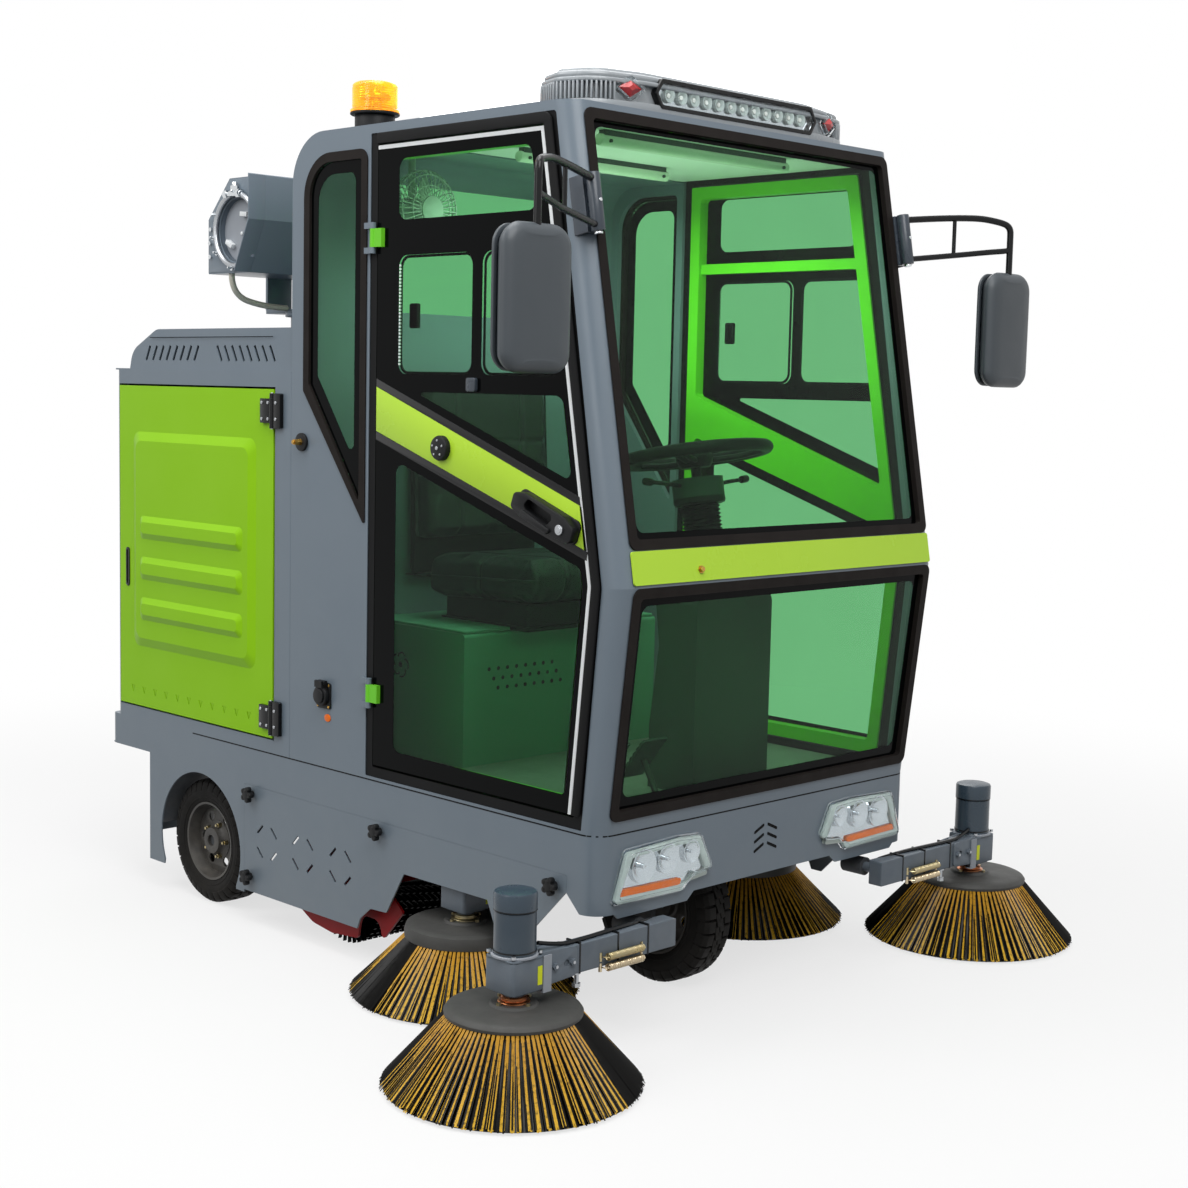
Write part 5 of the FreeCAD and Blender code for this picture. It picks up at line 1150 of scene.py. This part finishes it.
socket = Form().plate("XZ", BODY, 549.5, rectangle(-151, 599, -97, 663, 6), edge=1.5)
socket.rod((-124, -549, 631), (-124, -562, 631), 25, sides=48, round_by=3)
socket.rod((-124, -562, 631), (-124, -567, 631), 19, sides=48, round_by=2)
socket.box((-138, -566, 652), (-110, -549, 668))
socket.rod((-142, -558, 664), (-106, -558, 664), 4, sides=16)
socket.rod((-219, -BODY, 1237), (-219, -BODY - 8, 1237), 22, sides=40, round_by=2)
socket.done("charging_socket", BLACK_ABS, "black_plastic", replaces=("side_fittings",))
plate_screws = screw_heads(Form(), [(-145, 605), (-103, 605), (-145, 657), (-103, 657)], -549, 2, 3.4, sides=16,
                           round_by=0.8)
plate_screws.rod((-219, -552, 1237), (-219, -572, 1237), 9, tip=7, sides=6)
plate_screws.rod((-219, -571, 1237), (-219, -576, 1237), 5, sides=20, round_by=1)
plate_screws.done("side_nozzle_and_screws", BRASS, "brass", smooth=30)
oval = Form().plate("XZ", BODY, BODY + 1.4, [(-134, 577, 8), (-111, 566, 14), (-88, 577, 8), (-111, 588, 14)],
                    edge=0.4)
oval.done("blank_orange_oval", ORANGE_LENS, "beacon_amber", smooth=30)

star = Form().rod((0, 0, 8), (0, 0, 24), 13, sides=32, round_by=2).rod((0, 0, 0), (0, 0, 9), 9)
star.take(set_out(Form().rod((13.5, 0, 9), (13.5, 0, 24), 7.4, sides=20, round_by=3), BLACK_ABS, 5))
star_mesh = star.mesh("star")
knobs = Form()
for x, z in ((-425, 337), (94, 337), (689, 331), (-432, 122)):
    knobs.take(star_mesh, Matrix.Translation((x, -BODY, z)) @ Matrix.Rotation(math.radians(90), 4, "X"))
knobs.mirrored().done("star_knobs", BLACK_ABS, "black_plastic", smooth=40, replaces=("skirt_knobs",))


# Fog cannon on the hood

MOUTH = Vector((-666, -430, 1770))
CASING = [(-803, 1660), (-608, 1660), (-545, 1790), (-545, 1904), (-705, 1904), (-803, 1802)]
CASING_IN = [(-799.5, 1663.5), (-610.5, 1663.5), (-548.5, 1791), (-548.5, 1900.5), (-703.5, 1900.5), (-799.5, 1800.5)]


def rounded(points, radius):
    return [(u, v, radius) for u, v in points]


def cannon_casing(body):
    """Six-sided sheet casing with its end plates and hood, on a yoke."""
    casing = Form().plate("XZ", -15, 429, rounded(CASING, 4), [rounded(CASING_IN, 2)])
    casing.plate("XZ", 426, 430, rounded(CASING_IN, 3), [circle(-666, 1770, 80, 64)], edge=0.6)
    casing.plate("XZ", -15, -11, rounded(CASING_IN, 3), [circle(-666, 1770, 72, 48)], edge=0.6)
    casing.plate("XZ", 429, 480, [(-608, 1660, 2), (-545, 1790, 3), (-545, 1904, 3), (-548.5, 1904), (-548.5, 1791, 3),
                                  (-611.5, 1660)], edge=0.5)
    for u, top in ((-813, 1790), (-545, 1840)):
        casing.plate("YZ", u, u + 10, [(-240, 1572, 4), (-160, 1572, 4), (-160, top, 30), (-240, top, 30)], edge=1)
    casing.plate("XY", 1564, 1576, rectangle(-813, -240, -535, -160, 4), edge=1)
    casing.rod((-674, -200, 1554.3), (-674, -200, 1568), 60, sides=56, round_by=2)
    casing.done("cannon_shell", GREY, "grey_paint", body, smooth=30, replaces=("fog_cannon",))
    duct = Form().lathe(MOUTH, -Y, [(80, 0), (81.5, 0), (81.5, -300), (71, -300), (71, -440), (69.5, -440),
                                    (69.5, -298), (80, -298)], 64)
    duct.lathe(MOUTH, -Y, [(0, -180), (26, -182), (28, -190), (28, -420), (0, -420)], 40)
    duct.done("cannon_duct", ENAMEL, "motor_paint", body)
    plate = Form().lathe(MOUTH, -Y, [(0, -17), (80, -17), (80, -14), (0, -14)], 64)
    plate.done("cannon_mouth_plate", ZINC_SHEET, "grey_paint", body, smooth=30)
    blocks = Form()
    for u, v, lean in ((22, 40, 0.1), (-44, -34, 0.5), (34, -30, 0.0)):
        place = Matrix.Translation(MOUTH + Vector((u, 14, v))) @ Matrix.Rotation(lean, 4, "Y")
        blocks.box((-15, -14, -6), (15, 0.5, 6), place)
    blocks.rod(MOUTH + Vector((2, 14, -8)), MOUTH + Vector((2, 9, -8)), 5, sides=16, round_by=1.5)
    blocks.done("cannon_mouth_blocks", EDGE, "white_plastic", body, bevel=1.0)


def cannon_nozzles(body):
    """Water ring round the mouth, with its nozzles, its top fitting and the casing's screws."""
    ring = Form().lathe(MOUTH, -Y, circle(92, 7, 7, 14), 72)
    ring.done("cannon_nozzle_ring", STEEL, "brass", body, smooth=45)
    bright = Form()
    for degrees in (20, 90, 155, 190, 215, 262, 318):
        angle = math.radians(degrees)
        spoke = Vector((math.cos(angle), 0, math.sin(angle)))
        foot = MOUTH + spoke * 94 - Y * 8
        bright.rod(foot, foot + spoke * 11, 6, sides=6)
        bright.rod(foot + spoke * 4, foot + spoke * 4 - Y * 15, 4.6, tip=3, sides=16, round_by=1)
    top = MOUTH + Z * 92 - Y * 10
    bright.rod(top - X * 34, top + X * 30, 8, sides=20, round_by=2)
    bright.rod(top - X * 44, top - X * 30, 11, sides=6)
    bright.rod(top + X * 14, top + X * 27, 12, sides=6)
    bright.rod(top, top + Z * 30, 7, sides=20, round_by=2)
    bright.rod(top + Z * 8, top + Z * 20, 11, sides=6)
    screw_heads(bright, ((-790, 1740), (-788, 1705), (-786, 1776)), -429, 7, 6, sides=6)
    for u, proud, z in ((-817, 4, 1750), (-534, -2, 1790)):
        bright.rod((u, -200, z), (u + proud, -200, z), 13, sides=6)
    bright.done("cannon_nozzles", REFLECTOR, "brass", body)
    # Three slanted air slots on the casing's lower face: thin black plates, which are painted shade inside the slots.
    slots = Form()
    slope = Matrix.Translation((-608, 0, 1660)) @ Matrix(((0.436, 0, 0.8997, 0), (0, 1, 0, 0), (0.8997, 0, -0.436, 0),
                                                          (0, 0, 0, 1)))
    for y in (-250, -205, -160):
        slots.plate("XY", 0.05, 0.5, [(38, y - 34, 3), (46, y - 38, 3), (128, y + 30, 3), (120, y + 35, 3)],
                    place=slope)
    slots.done("cannon_air_slots", FRIT_AND_PAINTED_SHADE, "black_plastic", body, smooth=30)


cannon_casing("fog_cannon")
cannon_nozzles("fog_cannon")


# Cannon's water hose, held between its ring and its yoke

def water_hose():
    data = bpy.data.curves.new("cannon_water_hose", "CURVE")
    data.dimensions = "3D"
    data.bevel_depth = 0.008
    data.bevel_resolution = 5
    data.use_fill_caps = True
    route = [(-0.714, -0.416, 1.6597), (-0.714, -0.416, 1.604), (-0.714, -0.31, 1.578), (-0.714, -0.2403, 1.578)]
    spline = data.splines.new("NURBS")
    spline.points.add(len(route) - 1)
    for point, spot in zip(spline.points, route):
        point.co = (*spot, 1)
    spline.order_u = 3
    spline.use_endpoint_u = True
    spline.resolution_u = 16
    data.materials.append(HOSE)
    piece = put_in_scene("cannon_water_hose", data)
    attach(piece, "fog_cannon")
    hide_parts("cannon_hose")


water_hose()


# Driver's place

def cushion(name, form, swell, channels=()):
    """A padded seat part: a slightly small block that is blown up, held to the swell, then seamed.

    Each channel is an axis, its level there, its depth and half its width.
    """
    mesh = form.mesh(name)
    mesh.transform(Matrix.Scale(MM, 4))
    piece = put_in_scene(name, mesh)
    remesh = piece.modifiers.new("voxels", "REMESH")
    remesh.mode = "VOXEL"
    remesh.voxel_size = 0.008
    piece.data = flattened(piece)
    rest = [v.co.copy() for v in piece.data.vertices]
    cloth = piece.modifiers.new("padding", "CLOTH")
    cloth.settings.use_pressure = True
    cloth.settings.uniform_pressure_force = 4.0
    cloth.settings.effector_weights.gravity = 0.0
    cloth.settings.mass = 0.3
    for number in range(1, 16):
        bpy.context.scene.frame_set(number)
    piece.data = flattened(piece)
    for vert, start in zip(piece.data.vertices, rest):
        move = vert.co - start
        if move.length > swell * MM:
            vert.co = start + move.normalized() * swell * MM
    bpy.context.scene.frame_set(1)
    smoother = piece.modifiers.new("rounded", "SUBSURF")
    smoother.levels = smoother.render_levels = 1
    piece.data = flattened(piece)
    for vert in piece.data.vertices:
        for axis, level, depth, width in channels:
            near = abs(vert.co[axis] / MM - level)
            if near < width:
                vert.co -= vert.normal * depth * MM * (1 - near / width) ** 2
    piece.data.name = name
    piece.data.materials.clear()
    piece.data.materials.append(VINYL)
    piece.data.shade_smooth()
    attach(piece, "chassis")
    return piece


seat_low = Form().plate("XZ", -228, 228, [(-138, 862, 18), (278, 880, 26), (288, 962, 34), (-130, 950, 18)], edge=14)
seat_low = cushion("seat_cushion", seat_low, 12, ((1, -120, 7, 14), (1, 120, 7, 14), (0, 60, 6, 14)))
seat_back = Form().plate("XZ", -222, 222, [(-195, 985, 20), (-133, 985, 20), (-172, 1408, 20), (-206, 1412, 16)],
                         edge=12)
cushion("seat_backrest", seat_back, 12, ((1, -110, 7, 14), (1, 110, 7, 14), (2, 1240, 6, 14)))
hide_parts("seat")
piping = Form()
for y in (-232, 232):
    piping.tube([(-120, y, 905), (60, y, 914), (260, y, 922), (284, y * 0.98, 924)], 3.2, sides=10)
    piping.tube([(-166, y * 0.975, 1000), (-178, y * 0.975, 1200), (-190, y * 0.975, 1390)], 3.2, sides=10)
piping.done("seat_piping", VINYL, "seat_vinyl", smooth=60)
under = Form().plate("XY", 790, 800, rectangle(-130, -180, 200, 180, 10), edge=2)
under.plate("XY", 800, 856, rectangle(-120, -170, 190, 170, 10), edge=3)
under.plate("XZ", -210, 210, [(-214, 900, 10), (-200, 900, 10), (-196, 985, 6), (-210, 1395, 10), (-222, 1395, 10)],
            edge=3)
under.done("seat_slides_and_shell", BLACK_ABS, "black_plastic")

# Vent with five curved slots, and rows of round holes, in the box under the seat: thin black plates on its faces, which
# are painted shade inside the openings.
vent = Form()
for blade in range(5):
    turn = Matrix.Rotation(2 * math.pi * blade / 5, 2)
    angles = [math.radians(-40 + 22 * step) for step in range(7)]
    arc = [Vector((16, 0)) + Vector((math.cos(t), math.sin(t))) * 17 for t in angles]
    back = [p * 0.80 + Vector((3, -1)) for p in reversed(arc)]
    vent.plate("XZ", 330.05, 330.6, [(-100 + p.x, 690 + p.y, 0) for p in (turn @ p for p in arc + back)])
vent.plate("XZ", 330.05, 330.6, circle(-100, 690, 7, 20))
for row in range(3):
    for column in range(8):
        vent.plate("YZ", 140.05, 140.6, circle(-250 + column * 30 + row * 15, 700 - row * 24, 5, 12))
vent.done("seat_box_vents", FRIT_AND_PAINTED_SHADE, "black_plastic", smooth=30)
lid = Form().plate("XY", 790, 797, rectangle(-222, -326, 136, 326, 6), edge=2)
lid.done("seat_box_lid", BOX_GREEN, "dark_green_plastic", smooth=30)

STEER_TOP, STEER_FOOT = Vector((560, 0, 1232)), Vector((612, 0, 960))
axis = (STEER_TOP - STEER_FOOT).normalized()
folds = []
for fold in range(14):
    folds += [(41, 60 + fold * 9), (47, 64.5 + fold * 9)]
bellows = Form().lathe(STEER_FOOT, axis, [(34.5, 58)] + folds + [(41, 186), (34.5, 187)], 40)
bellows.done("column_bellows", SEAL, "black_plastic", smooth=30)
pod = Form().rod(STEER_FOOT + axis * 160, STEER_FOOT + axis * 222, 61, tip=56, sides=48, round_by=8)
pod.done("column_pod", BLACK_ABS, "black_plastic")
levers = Form()
for way in (-Y, Y):
    root = STEER_FOOT + axis * 205 + way * 50
    levers.tube([root, root + way * 60 + axis * 8, root + way * 110 + axis * 12], 5)
    levers.rod(root + way * 104 + axis * 11, root + way * 128 + axis * 14, 9, sides=20, round_by=3)
levers.done("column_levers", SMOOTH_ABS, "black_plastic", smooth=40)
pads = Form()
for y in (-230, -350):
    place = Matrix.Translation((640, y, 557)) @ Matrix.Rotation(math.radians(38), 4, "Y")
    for groove in range(7):
        pads.box((-9, -36, -54 + groove * 16), (-6.2, 36, -46 + groove * 16), place)
pads.done("pedal_pads", SEAL, "black_plastic", smooth=30)

steer = Form().lathe(STEER_TOP, axis, circle(170, 0, 14.5, 16), 72)
ahead = axis.cross(Y)
for degrees in (90, 210, 330):
    way = Y * math.cos(math.radians(degrees)) + ahead * math.sin(math.radians(degrees))
    wing = way.cross(axis)
    for off in (-9, 9):
        steer.tube([STEER_TOP - axis * 14 + way * 24 + wing * off, STEER_TOP - axis * 18 + way * 90 + wing * off,
                    STEER_TOP - axis * 2 + way * 166 + wing * off * 1.4], 7)
steer.lathe(STEER_TOP, axis, [(0, -30), (34, -30), (40, -22), (44, -8), (40, 2), (28, 7), (0, 9)], 48)
steer.rod(STEER_TOP - axis * 80, STEER_TOP - axis * 25, 12)
steer.done("steering_wheel_rim", BLACK_ABS, "black_plastic", "steering_wheel", smooth=50,
           replaces=("steering_wheel",))

FAN = Vector((-70, -300, 1800))
cage = Form()
for radius, at in ((96, 0), (96, 12), (86, 24), (60, 31), (34, 34)):
    cage.lathe(FAN, X, circle(radius - 2, at, 1.6, 6), 48)
wire = Form().tube([(30, 0, 34), (60, 0, 31), (86, 0, 24), (95, 0, 12), (95, 0, -6), (84, 0, -22), (50, 0, -28),
                    (26, 0, -30)], 1.4, sides=6)
cage.take(set_out(wire, WHITE_ABS, 36), Matrix.Translation(FAN) @ X.to_track_quat("Z", "Y").to_matrix().to_4x4())
cage.rod(FAN + X * 33, FAN + X * 37, 33, sides=32, round_by=2)
cage.rod(FAN - X * 66, FAN - X * 24, 34, tip=30, sides=32, round_by=6)
cage.rod(FAN - X * 45, FAN - X * 45 + Z * 131.5, 9, sides=20)
cage.done("fan_cage", WHITE_ABS, "white_plastic", smooth=50, replaces=("cabin_fan",))
blades = Form()
for blade in range(3):
    place = Matrix.Rotation(2 * math.pi * blade / 3, 4, "X") @ Matrix.Rotation(0.5, 4, "Z")
    blades.plate("YZ", -2, 1, [(-16, 12, 6), (20, 18, 6), (46, 62, 24), (10, 84, 20), (-30, 66, 24)], edge=0.8,
                 place=Matrix.Translation(FAN) @ place)
blades.done("fan_blades", WHITE_ABS, "white_plastic", smooth=40)


# Main roller: a core, and rows of flat strands that wind along it

ROLL_X, ROLL_Z, ROLL_HALF = -130, 143, 484
STRANDS, ROWS = 48, 44
roll = Form().rod((ROLL_X, -ROLL_HALF, ROLL_Z), (ROLL_X, ROLL_HALF, ROLL_Z), 96, sides=48)
roll.rod((ROLL_X, -ROLL_HALF - 18, ROLL_Z), (ROLL_X, ROLL_HALF + 18, ROLL_Z), 14)
roll.done("roller_core", BLACK_FILAMENT, "black_plastic", "main_roller", smooth=40, replaces=("main_roller",))
row = Form()
for number in range(STRANDS):
    height = (number - (STRANDS - 1) / 2) * (2 * ROLL_HALF - 20) / STRANDS
    spin = 1.1 * number / STRANDS
    rings = []
    for reach, half in ((92, 3.0), (120, 2.6), (138.5, 2.0)):
        middle = Vector((reach * math.cos(spin), reach * math.sin(spin), height + (reach - 92) * 0.05))
        wide = Vector((-math.sin(spin), math.cos(spin), 0)) * half
        rings.append([middle + s for s in (wide, Z * 6, -wide, -Z * 6)])
    row.loft(rings)
settle(set_out(row, BLACK_FILAMENT, ROWS), "roller_bristles", BLACK_FILAMENT, "black_plastic", "main_roller",
       smooth=60, place=Matrix.Translation((ROLL_X, 0, ROLL_Z)) @ Matrix.Rotation(math.radians(90), 4, "X"))


# Dark seam between the cab and the lower body, and vent slots in the front apron

def body_plan(by, corner=48, rear=-700):
    """The lower body's plan as far back as the seam goes, drawn smaller by a few millimetres."""
    front, side = APRON - by, BODY - by
    return [(rear, -side, 1), (front, -side, corner - by), (front, side, corner - by), (rear, side, 1)]


seam = Form().plate("XY", 451.8, 454.9, body_plan(-0.35), [body_plan(3)])
seam.done("deck_seam", SEAL, "black_seal", smooth=40)
# Vent slots in the apron: thin black plates on its face, which are painted shade inside the slots.
vents = Form()
for low in (341, 363, 385):
    for side in (-1, 1):
        vents.plate("YZ", APRON + 0.05, APRON + 0.5, [(side * 6, low + 15, 2), (side * 40, low, 2),
                                                      (side * 40, low + 7, 2), (side * 6, low + 22, 2)][::side])
vents.done("apron_vent_slots", FRIT_AND_PAINTED_SHADE, "black_plastic", smooth=30)

lid_line = Form().plate("XZ", BODY - 0.4, BODY + 0.25, rectangle(-905, 1489, -345, 1491))
lid_line.mirrored().done("hood_lid_seam", FRIT_AND_PAINTED_SHADE, "black_seal", smooth=0)


# White ceiling liner with two lamp tubes

liner = Form().plate("XY", 1935.4, 1937.6, rectangle(-100, -505, 640, 505, 40), edge=0.6)
liner.done("ceiling_liner", LINER, "white_plastic", smooth=30)

tubes, holders = Form(), Form()
for x, low, high in ((573, -350, 282), (212, -250, 252)):
    tubes.rod((x, low, 1914), (x, high, 1914), 13, sides=32, round_by=3)
    holders.box((x - 9, low + 10, 1916), (x + 9, high - 10, 1938))
    for y in (low + 24, high - 24):
        holders.rod((x - 17, y, 1912), (x + 17, y, 1912), 4, sides=12)
tubes.done("ceiling_lamp_tubes", LED, "white_plastic", smooth=40)
holders.done("ceiling_lamp_holders", GREY_ABS, "black_plastic")


# Camera, floor and lamps

def place_camera():
    """Stands where the photograph was taken."""
    data = bpy.data.cameras.new("camera")
    data.sensor_width = 36
    data.lens = 56.54
    data.shift_x, data.shift_y = 0.0028, -0.0061
    data.clip_start, data.clip_end = 0.05, 200
    yaw, pitch, roll = 2.3581, -0.1052, 0.0224
    ahead = Vector((math.cos(pitch) * math.cos(yaw), math.cos(pitch) * math.sin(yaw), math.sin(pitch)))
    right = ahead.cross(Z).normalized()
    up = right.cross(ahead)
    across = right * math.cos(roll) + up * math.sin(roll)
    top = up * math.cos(roll) - right * math.sin(roll)
    turn = Matrix((across, top, -ahead)).transposed().to_4x4()
    camera = put_in_scene("camera", data)
    camera.matrix_world = Matrix.Translation((3.476, -3.234, 1.378)) @ turn
    bpy.context.scene.camera = camera


def seen(tree):
    """1 for rays from the camera, and for those that polished things and glass send on; else 0."""
    rays = add(tree, "ShaderNodeLightPath").outputs
    both = add(tree, "ShaderNodeMath", {0: rays["Is Camera Ray"], 1: rays["Is Glossy Ray"]}, operation="MAXIMUM")
    return add(tree, "ShaderNodeMath", {0: both.outputs[0], 1: rays["Is Transmission Ray"]},
               operation="MAXIMUM").outputs[0]


def floor_material():
    """Matte white studio floor that fades into the white background, but keeps the shadow."""
    material, tree, shader, place = new_material("matte_white_floor")
    away = add(tree, "ShaderNodeVectorMath", {0: place}, operation="LENGTH").outputs["Value"]
    far = add(tree, "ShaderNodeMapRange", {"Value": away, "From Min": 1.4, "From Max": 4.2, "To Min": 0.70,
                                           "To Max": 1.0}, interpolation_type="SMOOTHSTEP").outputs[0]
    paint = add(tree, "ShaderNodeMix", {"Factor": far, MIX_A: (0.62, 0.62, 0.62, 1), MIX_B: (0, 0, 0, 1)},
                data_type="RGBA").outputs[MIX_OUT]
    glow = add(tree, "ShaderNodeMath", {0: seen(tree), 1: far}, operation="MULTIPLY").outputs[0]
    feed(tree, shader, {"Base Color": paint, "Roughness": 0.85, "Specular IOR Level": 0.0,
                        "Emission Color": (1, 1, 1, 1), "Emission Strength": glow})
    return material


# Each lamp's place and target in metres, its power in watts and the length of its side.
LAMPS = {"key": ((3.2, -1.6, 4.2), (0, 0, 0.9), 125, 2.6),
         "side": ((-1.4, -3.4, 4.0), (0, 0, 0.9), 75, 2.2),
         "back": ((-2.6, 3.4, 4.0), (0, 0, 0.9), 50, 3.0),
         "top": ((0.0, -0.6, 5.4), (0, 0, 0.9), 150, 3.0),
         "fill": ((0.6, -4.4, 2.4), (-0.6, -0.2, 1.7), 22, 1.6),
         "cab": ((0.34, 0.04, 1.86), (0.34, 0.04, 0), 10, 0.48),
         "ceiling": ((0.3, 0, 1.30), (0.3, 0, 2), 5, 0.6)}


def studio():
    data = bpy.data.meshes.new("floor")
    far = 60.0
    data.from_pydata([(-far, -far, 0), (far, -far, 0), (far, far, 0), (-far, far, 0)], [], [(0, 1, 2, 3)])
    data.materials.append(floor_material())
    put_in_scene("floor", data)
    world = bpy.data.worlds.new("studio")
    world.use_nodes = True
    bpy.context.scene.world = world
    tree = world.node_tree
    tree.nodes.clear()
    level = add(tree, "ShaderNodeMapRange", {"Value": seen(tree), "To Min": 0.50, "To Max": 1.0}).outputs[0]
    sky = add(tree, "ShaderNodeBackground", {"Color": (1, 1, 1, 1), "Strength": level})
    add(tree, "ShaderNodeOutputWorld", {"Surface": sky.outputs[0]})
    for name, (spot, target, power, size) in LAMPS.items():
        lamp = bpy.data.lights.new(name, "AREA")
        lamp.energy = power
        lamp.size = size
        holder = put_in_scene(name, lamp)
        holder.visible_camera = holder.visible_glossy = holder.visible_transmission = name not in ("cab", "ceiling")
        aim = Vector(target) - Vector(spot)
        holder.matrix_world = Matrix.Translation(spot) @ aim.to_track_quat("-Z", "Y").to_matrix().to_4x4()


place_camera()
studio()
bpy.context.scene.view_settings.view_transform = "Standard"
